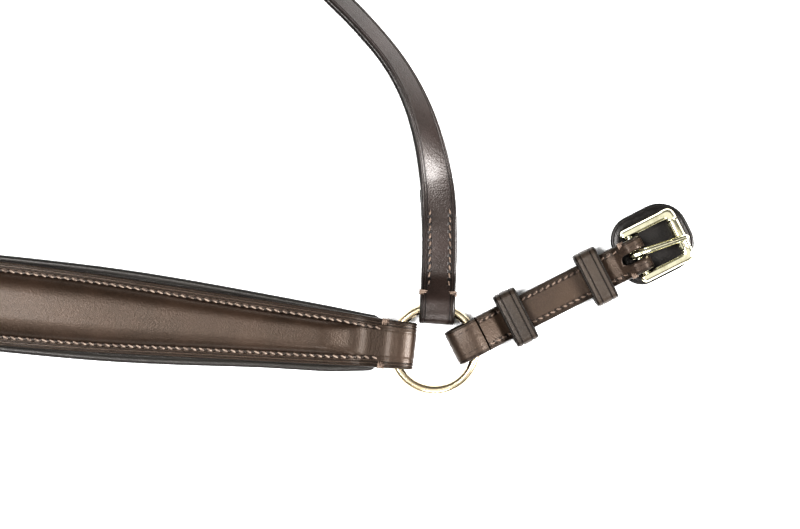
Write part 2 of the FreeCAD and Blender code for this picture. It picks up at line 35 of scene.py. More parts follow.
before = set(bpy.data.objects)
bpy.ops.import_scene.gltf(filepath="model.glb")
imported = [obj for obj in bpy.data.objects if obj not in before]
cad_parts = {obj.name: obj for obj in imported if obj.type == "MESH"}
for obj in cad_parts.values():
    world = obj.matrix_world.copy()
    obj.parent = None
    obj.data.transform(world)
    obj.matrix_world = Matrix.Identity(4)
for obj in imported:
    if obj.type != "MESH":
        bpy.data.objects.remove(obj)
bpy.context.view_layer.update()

# ---------------------------------------------------------------------------------------------
# Table, lights and camera.  The martingale lies on a white table under three soft lights and a
# bright ceiling, and the camera looks straight down beside the right shoulder ring.
# ---------------------------------------------------------------------------------------------
MM = 0.001
TABLE_SIZE = 8.0
TABLE_WHITE = 0.9
TABLE_ROUGHNESS = 0.9
CAMERA_HEIGHT = 1.4
CAMERA_STEP = (-16.2, 39.5)      # from the ring's centre to the point under the camera
CAMERA_TURN = 44.0               # the camera's right-hand direction, from +X
SEEN_WIDTH = 0.376               # of the table top, in metres
RING_PLANE = 0.006
CEILING_EDGE = (0.80, 0.96)       # sines of the heights between which the ceiling brightens
CEILING_LIGHT = 0.85
WALL_LIGHT = 0.22
# Each light: steps right and up from the camera, height and size in metres, power in watts.
LIGHTS = (("left_light", -0.54, 0.0, 1.25, 0.5, 21), ("right_light", 0.95, -0.08, 0.85, 0.4, 34),
          ("front_light", 0.05, -1.0, 1.0, 0.4, 8))


def middle(node):
    """Middle of a node's box, in millimetres."""
    low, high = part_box(node)
    return np.array((low + high) / 2) / MM


def turned(x, y, angle):
    """A point turned about the origin by an angle in degrees."""
    a = radians(angle)
    return x * cos(a) - y * sin(a), x * sin(a) + y * cos(a)


ring_centre = middle("right_shoulder_ring")
chest_centre = middle("chest_ring")

camera_x, camera_y = turned(*CAMERA_STEP, CAMERA_TURN)
camera = bpy.data.objects.new("camera", bpy.data.cameras.new("camera"))
camera.location = ((ring_centre[0] + camera_x) * MM, (ring_centre[1] + camera_y) * MM, CAMERA_HEIGHT)
camera.rotation_euler = (0, 0, radians(CAMERA_TURN))
camera.data.lens = camera.data.sensor_width * (CAMERA_HEIGHT - RING_PLANE) / SEEN_WIDTH
bpy.context.scene.collection.objects.link(camera)
bpy.context.scene.camera = camera
bpy.context.scene.view_settings.view_transform = "Standard"
bpy.context.scene.view_settings.look = "High Contrast"

for name, x, y, height, size, power in LIGHTS:
    light = bpy.data.objects.new(name, bpy.data.lights.new(name, "AREA"))
    light.data.energy = power
    light.data.size = size
    x, y = turned(x, y, CAMERA_TURN)
    light.location = (camera.location.x + x, camera.location.y + y, height)
    light.rotation_euler = (0, atan2(sqrt(x * x + y * y), height), atan2(y, x))
    bpy.context.scene.collection.objects.link(light)


class Tap:
    """Output of a shader node.  Arithmetic on it adds Math nodes, and make() adds any other node."""

    def __init__(self, tree, socket):
        self.tree = tree
        self.socket = socket

    @classmethod
    def make(cls, tree, kind, settings, sockets, out=0):
        """A node of a kind: its settings first, where "stops" are a ramp's, then its sockets."""
        node = tree.nodes.new(kind)
        for key, value in settings.items():
            if key == "stops":
                for i, (place, colour) in enumerate(value):
                    stops = node.color_ramp.elements
                    stop = stops[i] if i < 2 else stops.new(place)
                    stop.position = place
                    stop.color = (*colour, 1)
            else:
                setattr(node, key, value)
        for key, value in sockets.items():
            if isinstance(value, Tap):
                tree.links.new(value.socket, node.inputs[key])
            else:
                node.inputs[key].default_value = value
        return cls(tree, node.outputs[out])

    def math(self, operation, other=0.0):
        """A Math node that takes this first and the other second."""
        return Tap.make(self.tree, "ShaderNodeMath", {"operation": operation}, {0: self, 1: other})

    def __add__(self, other):
        return self.math("ADD", other)

    def __sub__(self, other):
        return self.math("SUBTRACT", other)

    def __rsub__(self, other):
        return Tap.make(self.tree, "ShaderNodeMath", {"operation": "SUBTRACT"}, {0: other, 1: self})

    def __mul__(self, other):
        return self.math("MULTIPLY", other)

    __radd__ = __add__
    __rmul__ = __mul__

    def __abs__(self):
        return self.math("ABSOLUTE")

    def eased(self, start, end):
        """0 before start, 1 after end, smooth between."""
        ends = {0: self, 1: start, 2: end}
        return Tap.make(self.tree, "ShaderNodeMapRange", {"interpolation_type": "SMOOTHSTEP"}, ends)

    def between(self, colour, other):
        """Colour where this is 0, the other where it is 1."""
        sockets = {0: self, 6: colour, 7: other}
        return Tap.make(self.tree, "ShaderNodeMix", {"data_type": "RGBA"}, sockets, 2)


world = bpy.data.worlds.new("studio")
world.use_nodes = True
sky = world.node_tree
upwards = Tap.make(sky, "ShaderNodeTexCoord", {}, {}, 0)
upwards = Tap.make(sky, "ShaderNodeSeparateXYZ", {}, {0: upwards}, 2)
glow = upwards.eased(*CEILING_EDGE).between((WALL_LIGHT,) * 3 + (1,), (CEILING_LIGHT,) * 3 + (1,))
sky.links.new(glow.socket, sky.nodes["Background"].inputs["Color"])
bpy.context.scene.world = world

table_mesh = bpy.data.meshes.new("table")
corners = [(-1, -1, 0), (1, -1, 0), (1, 1, 0), (-1, 1, 0)]
table_mesh.from_pydata((np.array(corners) * TABLE_SIZE / 2).tolist(), [], [(0, 1, 2, 3)])
table = bpy.data.objects.new("table", table_mesh)
table_paint = bpy.data.materials.new("table_paint")
table_paint.use_nodes = True
table_shader = table_paint.node_tree.nodes["Principled BSDF"]
table_shader.inputs["Base Color"].default_value = (TABLE_WHITE,) * 3 + (1,)
table_shader.inputs["Roughness"].default_value = TABLE_ROUGHNESS
table_mesh.materials.append(table_paint)
bpy.context.scene.collection.objects.link(table)

# ---------------------------------------------------------------------------------------------
# Rings: two shoulder rings, the chest ring and two rein rings of round solid brass wire, bent
# and welded, with a pale nickel-gold finish that is a little tarnished.
# ---------------------------------------------------------------------------------------------
SHOULDER_RING = 19.5             # radius of the wire's centre line
SHOULDER_WIRE = 2.05
CHEST_RING = 30.0
CHEST_WIRE = 2.4
REIN_RING = 17.0
REIN_WIRE = 1.9


def rgb(red, green, blue):
    """Solid colour from shares of linear light."""
    return red, green, blue, 1.0


def noise(tree, where, scale, detail=2.0, roughness=0.5):
    """Clouds from 0 to 1, so many to the metre, with finer and fainter ones added on."""
    sockets = {"Vector": where, "Scale": scale, "Detail": detail, "Roughness": roughness}
    return Tap.make(tree, "ShaderNodeTexNoise", {}, sockets)


def finish(name, paint, constants):
    """Material whose paint function gives what varies; the constants are set on the shader."""
    material = bpy.data.materials.new(name)
    material.use_nodes = True
    tree = material.node_tree
    shader = tree.nodes["Principled BSDF"]
    where = Tap.make(tree, "ShaderNodeTexCoord", {}, {}, 3)
    colour, roughness, height, depth = paint(tree, where)
    bump = Tap.make(tree, "ShaderNodeBump", {}, {"Height": height, "Distance": depth * MM, "Strength": 1.0})
    for key, tap in (("Base Color", colour), ("Roughness", roughness), ("Normal", bump)):
        tree.links.new(tap.socket, shader.inputs[key])
    for key, value in constants.items():
        shader.inputs[key].default_value = value
    return material


def ring_paint(tree, where):
    """Pale gold with brown tarnish in clouds and fine polishing scratches."""
    tarnish = noise(tree, where, 90, 4, 0.65).eased(0.42, 0.75)
    scratches = noise(tree, where, 1900, 3, 0.7)
    colour = tarnish.between(rgb(0.62, 0.54, 0.39), rgb(0.30, 0.23, 0.15))
    return colour, 0.17 + tarnish * 0.16 + scratches * 0.08, scratches, 0.02


def weave(rows, columns, loop=False):
    """Quads of a grid whose columns close on themselves, with capped ends unless it is a loop."""
    i = np.arange(rows if loop else rows - 1)[:, None]
    j = np.arange(columns)[None, :]
    near, far = i * columns, (i + 1) % rows * columns
    ahead = (j + 1) % columns
    quads = np.stack([near + j, far + j, far + ahead, near + ahead], -1).reshape(-1, 4)
    if loop:
        return [quads]
    j = np.arange(columns)
    return [quads, np.stack([j, (rows - 1) * columns + j[::-1]])]


def cast(name, points, faces, material, sharp=38.0, **marks):
    """Mesh from points in millimetres and arrays of faces, turned outwards if its volume is
    negative.  Marks are attributes of the points that the material reads."""
    points = np.asarray(points, float).reshape(-1, 3) * MM
    volume = 0.0
    for block in faces:
        apex = points[block[:, 0]]
        for j in range(1, block.shape[1] - 1):
            volume += np.sum(apex * np.cross(points[block[:, j]], points[block[:, j + 1]]))
    if volume < 0:
        faces = [block[:, ::-1] for block in faces]
    mesh = bpy.data.meshes.new(name)
    mesh.from_pydata(points.tolist(), [], [face for block in faces for face in block.tolist()])
    for key, values in marks.items():
        attribute = mesh.attributes.new(key, "FLOAT", "POINT")
        attribute.data.foreach_set("value", np.asarray(values, np.float32).ravel())
    mesh.shade_smooth()
    mesh.set_sharp_from_angle(angle=radians(sharp))
    mesh.materials.append(material)
    piece = bpy.data.objects.new(name, mesh)
    bpy.context.scene.collection.objects.link(piece)
    return piece


def fasten(piece, body, slot, *nodes):
    """The piece moves with a body and stands for these nodes, which are hidden. The slot is not used."""
    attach(piece, body)
    if nodes:
        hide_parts(*nodes)
    return piece


def torus(centre, radius, wire, around=168, across=28):
    """Ring: a circle of the wire's radius carried round a circle of the ring's radius."""
    a = np.linspace(0, 2 * pi, around, endpoint=False)[:, None]
    b = np.linspace(0, 2 * pi, across, endpoint=False)[None, :]
    out = radius + wire * np.cos(b)
    ring = np.stack([out * np.cos(a), out * np.sin(a), wire * np.sin(b) + 0 * a], -1)
    return ring + centre, weave(around, across, True)


ring_metal = finish("ring_metal", ring_paint, {"Metallic": 1.0})
for node, body, radius, wire in (("right_shoulder_ring", "right_ring", SHOULDER_RING, SHOULDER_WIRE),
                                 ("left_shoulder_ring", "left_ring", SHOULDER_RING, SHOULDER_WIRE),
                                 ("chest_ring", "chest_ring", CHEST_RING, CHEST_WIRE),
                                 ("right_rein_ring", "right_rein_ring", REIN_RING, REIN_WIRE),
                                 ("left_rein_ring", "left_rein_ring", REIN_RING, REIN_WIRE)):
    ring = cast(node + "_wire", *torus(middle(node), radius, wire), ring_metal)
    fasten(ring, body, "ring_metal", node)

# ---------------------------------------------------------------------------------------------
# Linings of the padded shoulder pieces: soft leather with its edge rolled over, wider than the
# face leather so that a grey-brown roll shows all round it.
# ---------------------------------------------------------------------------------------------
PLY = 2.8                        # one thickness of bridle leather
SHOULDER_FAR = 419.5             # the far half is the near half turned round from here
LINING_ENDS = (26.0, 393.5)
LINING_T = 2.6
LINING_CORNER = 4.0
LINING_HALVES = ((26, 12.0), (40, 14.0), (64, 16.0), (88, 18.0), (111, 19.8), (134, 21.3),
                 (158, 22.4), (190, 22.8))
LINING_BELLY = (45.0, 26.0, 1.4)  # the lower edge bulges here: middle, reach and size
UNSEWN = 9.0                     # distance from the thread that stands for leather without any
SIDES = (("right", 1), ("left", -1))


def shoulder_half(u, stations):
    """Half width at u: straight between the stations, averaged over a short reach to round it."""
    along, halves = np.array(stations, float).T
    u = np.minimum(u, SHOULDER_FAR - u)
    return np.mean([np.interp(u + reach, along, halves) for reach in np.linspace(-14, 14, 9)], axis=0)


def smooth(x, start, end):
    """0 before start, 1 after end, on a cubic between."""
    t = np.clip((x - start) / (end - start), 0, 1)
    return t * t * (3 - 2 * t)


def lay(points, place):
    """Points (along, left, up) put on the table at a place (x, y, heading in degrees)."""
    x, y, heading = place
    u, v, w = np.moveaxis(points, -1, 0)
    u, v = turned(u, v, heading)
    return np.stack([x + u, y + v, w], -1)


def moved(place, along, left, turn=0.0):
    """A place further on: along and to the left of this one, and turned."""
    x, y = turned(along, left, place[2])
    return place[0] + x, place[1] + y, place[2] + turn


NEUTRAL_SHEEN = rgb(1.0, 0.95, 0.92)
WARM_SHEEN = rgb(1.0, 0.84, 0.73)


def leather(name, dark, warm, rim, gloss, sheen=NEUTRAL_SHEEN):
    """Waxed bridle leather.  Clouds of dark and warm brown, a darker edge, painted shade in the
    creases, in the needle holes and in a band along the rows of thread, and a pebbled grain with soft
    creasing."""
    def paint(tree, where):
        def mark(key):
            return Tap.make(tree, "ShaderNodeAttribute", {"attribute_name": key}, {}, 2)
        edge, row, along, groove = mark("edge"), mark("row"), mark("along"), mark("groove")
        clouds = noise(tree, where, 42, 4, 0.6).eased(0.3, 0.72)
        pores = noise(tree, where, 1500, 3, 0.65)
        cells = Tap.make(tree, "ShaderNodeTexVoronoi", {}, {"Vector": where, "Scale": 1150.0})
        creasing = noise(tree, where, 620, 4, 0.6)
        colour = clouds.between(dark, warm)
        colour = (pores.eased(0.36, 0.70) * 0.65).between(colour, warm)
        colour = (1 - edge.eased(0.1, 1.3)).between(colour, rim)
        beside = abs(row)
        # Painted shade: each needle hole, and a band along each row of thread, goes towards near black.
        to_hole = abs(along.math("FRACT") - 0.5)
        hole = (1 - beside.eased(0.6, 1.05)) * (1 - to_hole.eased(0.17, 0.29))
        # Painted shade in the creases: the groove mark darkens the colour.
        shade = (groove * 0.75).math("MAXIMUM", hole)
        shade = shade.math("MAXIMUM", (1 - beside.eased(0.3, 1.6)) * 0.5)
        # The nearly black colour here is painted shade, not a dye.
        colour = shade.between(colour, rgb(0.003, 0.0023, 0.002))
        flesh = 1 - edge.eased(-0.9, -0.3)
        colour = flesh.between(colour, rgb(0.07, 0.042, 0.027))
        roughness = gloss + creasing * 0.11 + pores * 0.05 + groove * 0.1 + flesh * 0.3
        height = cells * 0.6 + pores * 0.9 + creasing * 0.5 - hole * 2.2
        return colour, roughness, height, 0.09
    return finish(name, paint, {"Specular IOR Level": 0.36, "Specular Tint": sheen, "Coat Weight": 0.04,
                                "Coat Roughness": 0.12})


def unsewn_marks(edge):
    """Marks of leather that has neither thread nor creases."""
    return {"edge": edge, "row": 0 * edge + UNSEWN, "along": 0 * edge, "groove": 0 * edge}


def rolled_section(left_half, right_half, thick, roll):
    """Closed outline of the lining at each station: flat below, half-round at the edges and a
    roll of extra height there.  Gives across, up and distance from the edge."""
    a = np.linspace(-pi / 2, pi / 2, 9)
    inset = np.concatenate([[6.0], thick * 0.62 * (1 - np.cos(a)), [2.6, 3.4, 5.0]])
    up = np.concatenate([[0.0], (thick + roll) / 2 * (1 + np.sin(a)), [thick + roll * 0.5, thick, thick]])
    edge = np.concatenate([[-1.0], inset[1:]])
    right = right_half[:, None] - inset
    left = -(left_half[:, None] - inset)
    across = np.concatenate([right, left[:, ::-1]], 1)
    up, edge = (np.concatenate([part, part[::-1]]) + 0 * across for part in (up, edge))
    return across, up, edge


shoulder_heading = degrees(atan2(chest_centre[1] - ring_centre[1], chest_centre[0] - ring_centre[0]))
shoulder_place = (ring_centre[0], ring_centre[1], shoulder_heading)

stations = LINING_ENDS[0] + (LINING_ENDS[1] - LINING_ENDS[0]) * np.linspace(0, 1, 220)
near_corner = np.clip(np.minimum(stations - LINING_ENDS[0], LINING_ENDS[1] - stations), 0, LINING_CORNER)
cut_back = LINING_CORNER - np.sqrt(LINING_CORNER ** 2 - (LINING_CORNER - near_corner) ** 2)
half = shoulder_half(stations, LINING_HALVES) - cut_back
belly = LINING_BELLY[2] * np.exp(-((stations - LINING_BELLY[0]) / LINING_BELLY[1]) ** 2)
across, up, edge = rolled_section(half, half + belly, LINING_T, 0.7)
lining_grid = np.stack([stations[:, None] + 0 * across, across, up], -1)
lining_leather = leather("lining_leather", rgb(0.0077, 0.0067, 0.0067), rgb(0.013, 0.012, 0.0099),
                         rgb(0.0058, 0.0053, 0.0053), 0.31)
for side, sign in SIDES:
    lining = cast(side + "_shoulder_lining_leather", lay(lining_grid, shoulder_place) * (sign, 1, 1),
                  weave(*across.shape), lining_leather, **unsewn_marks(edge))
    fasten(lining, side + "_shoulder", "leather_lining", side + "_shoulder_lining")

# ---------------------------------------------------------------------------------------------
# Felt pads and face leather of the shoulder pieces.  The face is one long strip: it is pressed
# over the pad, sewn down along both sides of it, creased twice along its border, and folded
# round a ring at each end.
# ---------------------------------------------------------------------------------------------
FACE_T = 2.4
FACE_HALVES = ((20, 10.9), (26, 11.7), (40, 12.5), (64, 13.8), (111, 16.1), (158, 18.6), (200, 20.0))
ROW_HALVES = ((22, 6.3), (27, 6.7), (40, 8.3), (64, 9.5), (87, 10.5), (111, 11.8), (158, 14.5), (200, 15.6))
FACE_CREASES = (1.4, 2.65)
FACE_ROWS = (25.7, 394.0)
FACE_LOOP_TOPS = (9.85, 10.15)   # middle of the leather over the shoulder ring and the chest ring
FACE_FOLDS = (9.2, 410.3)
PAD_HEIGHT = 4.5
PAD_GROWS = (31.0, 56.0)         # the pad's height grows over this stretch from the ring
PAD_FILL = 0.98                  # share of the hollow under the face that the felt takes up
PAD_LIFT = 0.1
PAD_FLOOR = 0.02
STITCH_PITCH = 3.7
FINE_STEP = 1.3                  # between points of a line with tight bends


def bent(corners, step=1.8, closed=False):
    """Points along straight runs with rounded corners; a corner is (a, b, radius)."""
    spots = np.array([corner[:2] for corner in corners], float)
    line = []
    for i, (spot, radius) in enumerate(zip(spots, [corner[2] for corner in corners])):
        if not closed and i in (0, len(spots) - 1):
            line.append(spot[None])
            continue
        back = spots[i - 1] - spot
        ahead = spots[(i + 1) % len(spots)] - spot
        back, ahead = back / np.linalg.norm(back), ahead / np.linalg.norm(ahead)
        turn = pi - np.arccos(np.clip(back @ ahead, -1, 1))
        inwards = (back + ahead) / np.linalg.norm(back + ahead)
        centre = spot + inwards * radius / cos(turn / 2)
        swing = np.linspace(-turn / 2, turn / 2, max(3, ceil(turn / radians(9)) + 1))[:, None]
        onwards = (ahead - back) / np.linalg.norm(ahead - back)
        line.append(centre - radius * (inwards * np.cos(swing) - onwards * np.sin(swing)))
    line = np.concatenate(line + ([line[0][:1]] if closed else []))
    filled = [np.linspace(a, b, max(1, ceil(np.linalg.norm(b - a) / step)), endpoint=False)
              for a, b in zip(line[:-1], line[1:])]
    return np.concatenate(filled + ([] if closed else [line[-1:]]))


def sweep(line, across, up, thick, ply, closed=False):
    """Carries sections along a line in the (u, w) plane.  The outer face lies to the right of
    the line, half a ply from it, and a thinner section is skived on its inner side."""
    if closed:
        tangent = np.roll(line, -1, 0) - np.roll(line, 1, 0)
    else:
        tangent = np.gradient(line, axis=0)
    tangent /= np.linalg.norm(tangent, axis=1)[:, None]
    rise = up - np.asarray(thick, float).reshape(-1, 1) + ply / 2
    u = line[:, :1] + tangent[:, 1:] * rise
    w = line[:, 1:] - tangent[:, :1] * rise
    return np.stack([u, across, w], -1)


def travelled(line):
    """Distance along a line of points."""
    steps = np.linalg.norm(np.diff(line, axis=0), axis=1)
    return np.concatenate([[0.0], np.cumsum(steps)])


def crease_columns(creases, dip):
    """Insets and heights of the face between the rounded edge and the field, grooves included, and the groove
    mark on which the leather's colour is darkened as painted shade.
    """
    spread = np.array([-0.42, -0.16, 0.16, 0.42])
    inset = (np.array(creases)[:, None] + spread).ravel()
    return inset, np.tile([0.0, -dip, -dip, 0.0], len(creases)), np.tile([0.0, 1.0, 1.0, 0.0], len(creases))


def face_section(u):
    """Closed outline of the face leather at each station.  From the edge inwards: half-round
    edge, two creases, a valley for the thread, and the crown over the pad, which is a height
    times (1 - q^4)^0.8 where q is the share of the way from the middle to the thread."""
    half = shoulder_half(u, FACE_HALVES)[:, None]
    row = shoulder_half(u, ROW_HALVES)[:, None]
    height = PAD_HEIGHT * smooth(np.minimum(u, SHOULDER_FAR - u), *PAD_GROWS)[:, None]
    q = np.linspace(0.02, 1.0, 13)
    crown = height * (1 - q ** 4) ** 0.8
    pad = (row - 0.8) * q
    a = np.linspace(-pi / 2, pi / 2, 8)
    rounding = 0.8 * (1 - np.cos(a))
    inset, dip, dark = crease_columns(FACE_CREASES, 0.45)
    flat = 0 * half
    across = [pad, half - rounding, half - inset, row + 0.35, row - 0.25, pad[:, ::-1]]
    up = [crown, flat + FACE_T / 2 * (1 + np.sin(a)), flat + FACE_T + dip, flat + FACE_T - 0.1,
          flat + FACE_T - 0.22, FACE_T + crown[:, ::-1]]
    groove = [0 * pad, flat + 0 * a, flat + dark, flat, flat, 0 * pad]
    under = np.concatenate([flat - 1 + 0 * q, flat + rounding, half - across[2]], 1)
    top = np.concatenate([half - across[3], half - across[4], half - across[5]], 1)
    across, up, groove = (np.concatenate(parts, 1) for parts in (across, up, groove))
    edge = np.concatenate([under, top], 1)
    away = np.where(edge < -0.5, -UNSEWN, row - across)
    unsewn = (u < FACE_ROWS[0]) | (u > FACE_ROWS[1])
    away = np.where(unsewn[:, None], UNSEWN * np.sign(away), away)
    return [np.concatenate([part, part[:, ::-1] * sign], 1)
            for part, sign in ((across, -1), (up, 1), (edge, 1), (away, 1), (groove, 1))]


near_top, far_top = FACE_LOOP_TOPS
near_fold, far_fold = FACE_FOLDS
face_level = LINING_T + FACE_T / 2
face_line = bent([(394.0, FACE_T / 2, 0), (far_fold - 1.2, FACE_T / 2, 4.2), (far_fold - 1.2, far_top, 4.2),
                  (far_fold - 12.0, far_top, 6), (386.0, face_level, 18), (36.0, face_level, 24),
                  (near_fold + 12.4, near_top, 9), (near_fold + 6.2, near_top, 8),
                  (near_fold + 0.9, near_top - 2.2, 3.6), (near_fold + 1.2, FACE_T / 2, 4.2),
                  (25.6, FACE_T / 2, 0)], FINE_STEP)
across, up, edge, away, groove = face_section(face_line[:, 0])
face_grid = sweep(face_line, across, up, FACE_T, FACE_T)
along = (face_grid[..., 0] - FACE_ROWS[0]) / STITCH_PITCH + 0.5
face_leather = leather("face_leather", rgb(0.01, 0.0062, 0.0038), rgb(0.023, 0.014, 0.0094),
                       rgb(0.0031, 0.0023, 0.0018), 0.33, WARM_SHEEN)

pad_line = np.linspace(38.0, SHOULDER_FAR - 38.0, 120)
pad_half = shoulder_half(pad_line, ROW_HALVES)[:, None] - 1.6
pad_height = PAD_HEIGHT * smooth(np.minimum(pad_line, SHOULDER_FAR - pad_line), *PAD_GROWS)[:, None]
q = np.linspace(-1, 1, 25)
pad_along = pad_line[:, None] + 0 * q
pad_crown = LINING_T + PAD_LIFT + pad_height * PAD_FILL * (1 - q ** 4) ** 0.8
pad_top = np.stack([pad_along, pad_half * q, pad_crown], -1)
pad_floor = np.stack([pad_along, pad_half * q[::-1], LINING_T + PAD_FLOOR + 0 * pad_crown], -1)
pad_grid = np.concatenate([pad_top, pad_floor], 1)


def felt_paint(tree, where):
    """Grey wool felt: fibres in all directions and darker clumps."""
    fibres = noise(tree, where, 900, 6, 0.75)
    clumps = noise(tree, where, 120, 3, 0.6).eased(0.35, 0.7)
    return clumps.between(rgb(0.16, 0.15, 0.14), rgb(0.30, 0.28, 0.26)), 0.85 + fibres * 0.15, fibres, 0.3


felt = finish("felt", felt_paint, {"Specular IOR Level": 0.2})
for side, sign in SIDES:
    face = cast(side + "_shoulder_face_leather", lay(face_grid, shoulder_place) * (sign, 1, 1),
                weave(*across.shape), face_leather, edge=edge, row=away, along=along, groove=groove)
    fasten(face, side + "_shoulder", "leather_outer", side + "_shoulder_face")
    pad = cast(side + "_shoulder_felt_pad", lay(pad_grid, shoulder_place) * (sign, 1, 1),
               weave(*pad_grid.shape[:2]), felt)
    fasten(pad, side + "_shoulder", "padding", side + "_shoulder_padding")

# ---------------------------------------------------------------------------------------------
# Thread of the shoulder pieces: waxed beige linen, hand sewn in slanted stitches along both
# sides of each pad, with a few turns of darker thread over each edge beside the ring.
# ---------------------------------------------------------------------------------------------
THREAD = 0.45                    # radius of the thread
STITCH_LENGTH = 2.9
STITCH_SLANT = 17.0
FACE_SLANT = -STITCH_SLANT * 1.3
FACE_TACKS = (24.2, 395.6)       # beside the shoulder ring and beside the chest ring
FACE_TACK_HALF = 11.2
TACK_TURNS = 4


def threads(paths, radius, side, sides=6):
    """Round threads along lines of points (many, n, 3): a circle round each point, square to the
    line, drawn in at both ends.  The side is a direction across the lines."""
    many, n, _ = paths.shape
    tangent = np.gradient(paths, axis=1)
    tangent /= np.linalg.norm(tangent, axis=2)[..., None]
    first = side - np.sum(tangent * side, axis=2)[..., None] * tangent
    first /= np.linalg.norm(first, axis=2)[..., None]
    second = np.cross(tangent, first)
    girth = radius * np.sqrt(1 - 0.85 * np.linspace(-1, 1, n) ** 6)[:, None, None]
    a = np.linspace(0, 2 * pi, sides, endpoint=False)[:, None]
    points = paths[:, :, None] + girth * (np.cos(a) * first[:, :, None] + np.sin(a) * second[:, :, None])
    shift = (np.arange(many) * n * sides)[:, None, None]
    faces = [(block + shift).reshape(-1, block.shape[1]) for block in weave(n, sides)]
    return points, faces


def stitches(centres, surface, slant=STITCH_SLANT, length=STITCH_LENGTH):
    """Lines of slanted stitches with middles (u, v), which arch over the surface's height at u."""
    t = np.linspace(-1, 1, 6)
    u = centres[:, :1] + t * length / 2 * cos(radians(slant))
    v = centres[:, 1:] + t * length / 2 * sin(radians(slant))
    w = surface(u) + 0.30 * (1 - t ** 2) - 0.12
    return np.stack([u, v, w], -1)


def tacks(u, edge_at, side, surface, depth, turns=TACK_TURNS, gap=0.85, reach=2.6):
    """Lines of thread laid side by side over one edge of a strap and down its side."""
    t = np.linspace(0, 1, 9)
    out = np.clip(t / 0.62, 0, 1)
    down = smooth(t, 0.45, 1.0)
    v = side * (edge_at - reach + (reach + 0.25) * np.sin(out * pi / 2))
    w = surface + 0.22 - 0.5 * (1 - smooth(t, 0, 0.2)) - depth * down
    starts = [u + gap * (i - (turns - 1) / 2) for i in range(turns)]
    return np.stack([np.stack([start + 0.25 * side * t, v, w], -1) for start in starts])


def top_of(line, lift, start, end):
    """Height of the strap's upper face at u, read off the part of its line between two points."""
    upper = (line[:, 0] > start) & (line[:, 0] < end) & (np.gradient(line[:, 0]) < 0)
    u, w = line[upper][::-1].T
    return lambda at: np.interp(at, u, w) + lift


def joined(*groups):
    """Several groups of points and faces as one."""
    points, faces, count = [], [], 0
    for group_points, group_faces in groups:
        group_points = group_points.reshape(-1, 3)
        points.append(group_points)
        faces += [block + count for block in group_faces]
        count += len(group_points)
    return np.concatenate(points), faces


def thread_finish(name, pale, dark):
    """Twisted waxed thread: pale fibres, darker wax in the twist."""
    def paint(tree, where):
        wax = noise(tree, where, 700, 3, 0.6)
        twist = noise(tree, where, 2600, 2, 0.6)
        return wax.eased(0.35, 0.68).between(pale, dark), 0.55 + twist * 0.2, twist, 0.12
    return finish(name, paint, {"Specular IOR Level": 0.4})


beige_thread = thread_finish("beige_thread", rgb(0.22, 0.172, 0.14), rgb(0.065, 0.046, 0.036))
tan_thread = thread_finish("tan_thread", rgb(0.16, 0.117, 0.09), rgb(0.05, 0.034, 0.026))
face_top = top_of(face_line, FACE_T / 2 - 0.15, 12, 408)
row_u = np.arange(FACE_ROWS[0] + STITCH_PITCH / 2, FACE_ROWS[1], STITCH_PITCH)
row_v = shoulder_half(row_u, ROW_HALVES)
row_stitches = [stitches(np.stack([row_u, row_v * way], -1), face_top, FACE_SLANT) for way in (-1, 1)]
face_threads = threads(np.concatenate(row_stitches), THREAD, np.array([0, 1.0, 0]))
tack_lines = [tacks(at, FACE_TACK_HALF, way, float(face_top(at)), 2.6)
              for at in FACE_TACKS for way in (-1, 1)]
face_tacks = threads(np.concatenate(tack_lines), THREAD, np.array([1.0, 0, 0]))
for side, sign in SIDES:
    points, faces = face_threads
    rows = cast(side + "_shoulder_stitching", lay(points, shoulder_place) * (sign, 1, 1), faces, beige_thread)
    fasten(rows, side + "_shoulder", "thread_beige", side + "_shoulder_thread")
    points, faces = face_tacks
    ties = cast(side + "_shoulder_tacks", lay(points, shoulder_place) * (sign, 1, 1), faces, tan_thread)
    fasten(ties, side + "_shoulder", "thread_beige")

# ---------------------------------------------------------------------------------------------
# Neck strap: two halves of one narrow bridle strap, each folded round a shoulder ring and sewn
# back on itself.  It bends up towards the withers and lies partly rolled on to its outer edge.
# The right half ends in a point with four holes, the left half is folded round a buckle.
# ---------------------------------------------------------------------------------------------
NECK_WIDTH = 16.6
NECK_START = (0.95, 11.3)        # fold from the ring's centre, before the camera's turn
NECK_HEADING = 87.3
NECK_RUNS = ((24.0, 0.0), (36.0, 7.0), (36.0, 13.7), (42.0, 22.0), (27.0, 6.0), (320.0, 0.0))
NECK_ROLL = 55.0
NECK_ROLL_IN = (45.0, 140.0)
NECK_ROLL_OUT = (178.0, 246.0)
NECK_LAP = (54.0, 64.0)
NECK_END_GAP = 12.0
NECK_FOLD_TOP = 11.2             # middle of the leather over the ring
NECK_BEND = 45.0                 # radius of the soft bends where the second ply ends
NECK_SEWN = (17.4, 53.5)
NECK_TACK = 14.6
NECK_CREASES = (1.3, 2.5)
NECK_STEP = 0.25                 # between the points that the middle line is summed over
NECK_HOLES = 4
NECK_HOLE_BACK = 26.0            # from the point to the first hole
NECK_HOLE_STEP = 18.0
NECK_HOLE_R = 1.9
NECK_ROWS = (-4.9, 4.5)
TIP_LENGTH = 14.0
BAR_TO_END = 24.3                # buckle's bar to the outer end of its frame
BAR_ROOM = 2.15                  # radius of the leather's inner face round the bar
BUCKLE_LAP = (72.0, 82.0)        # the turned-back end at the buckle thins away over this stretch
PLY_GAP = 0.05


def neck_middle(distance):
    """Middle line of the neck strap: headings turn evenly along each run and are summed up."""
    fine = np.arange(0, 440, NECK_STEP)
    heading = np.full(len(fine), NECK_HEADING)
    start = 0.0
    for length, turn in NECK_RUNS:
        heading += turn * np.clip((fine - start) / length, 0, 1)
        start += length
    steps = [NECK_START[0] + np.cumsum(np.cos(np.radians(heading))) * NECK_STEP,
             NECK_START[1] + np.cumsum(np.sin(np.radians(heading))) * NECK_STEP]
    return [np.interp(distance, fine, values) for values in (*steps, heading)]


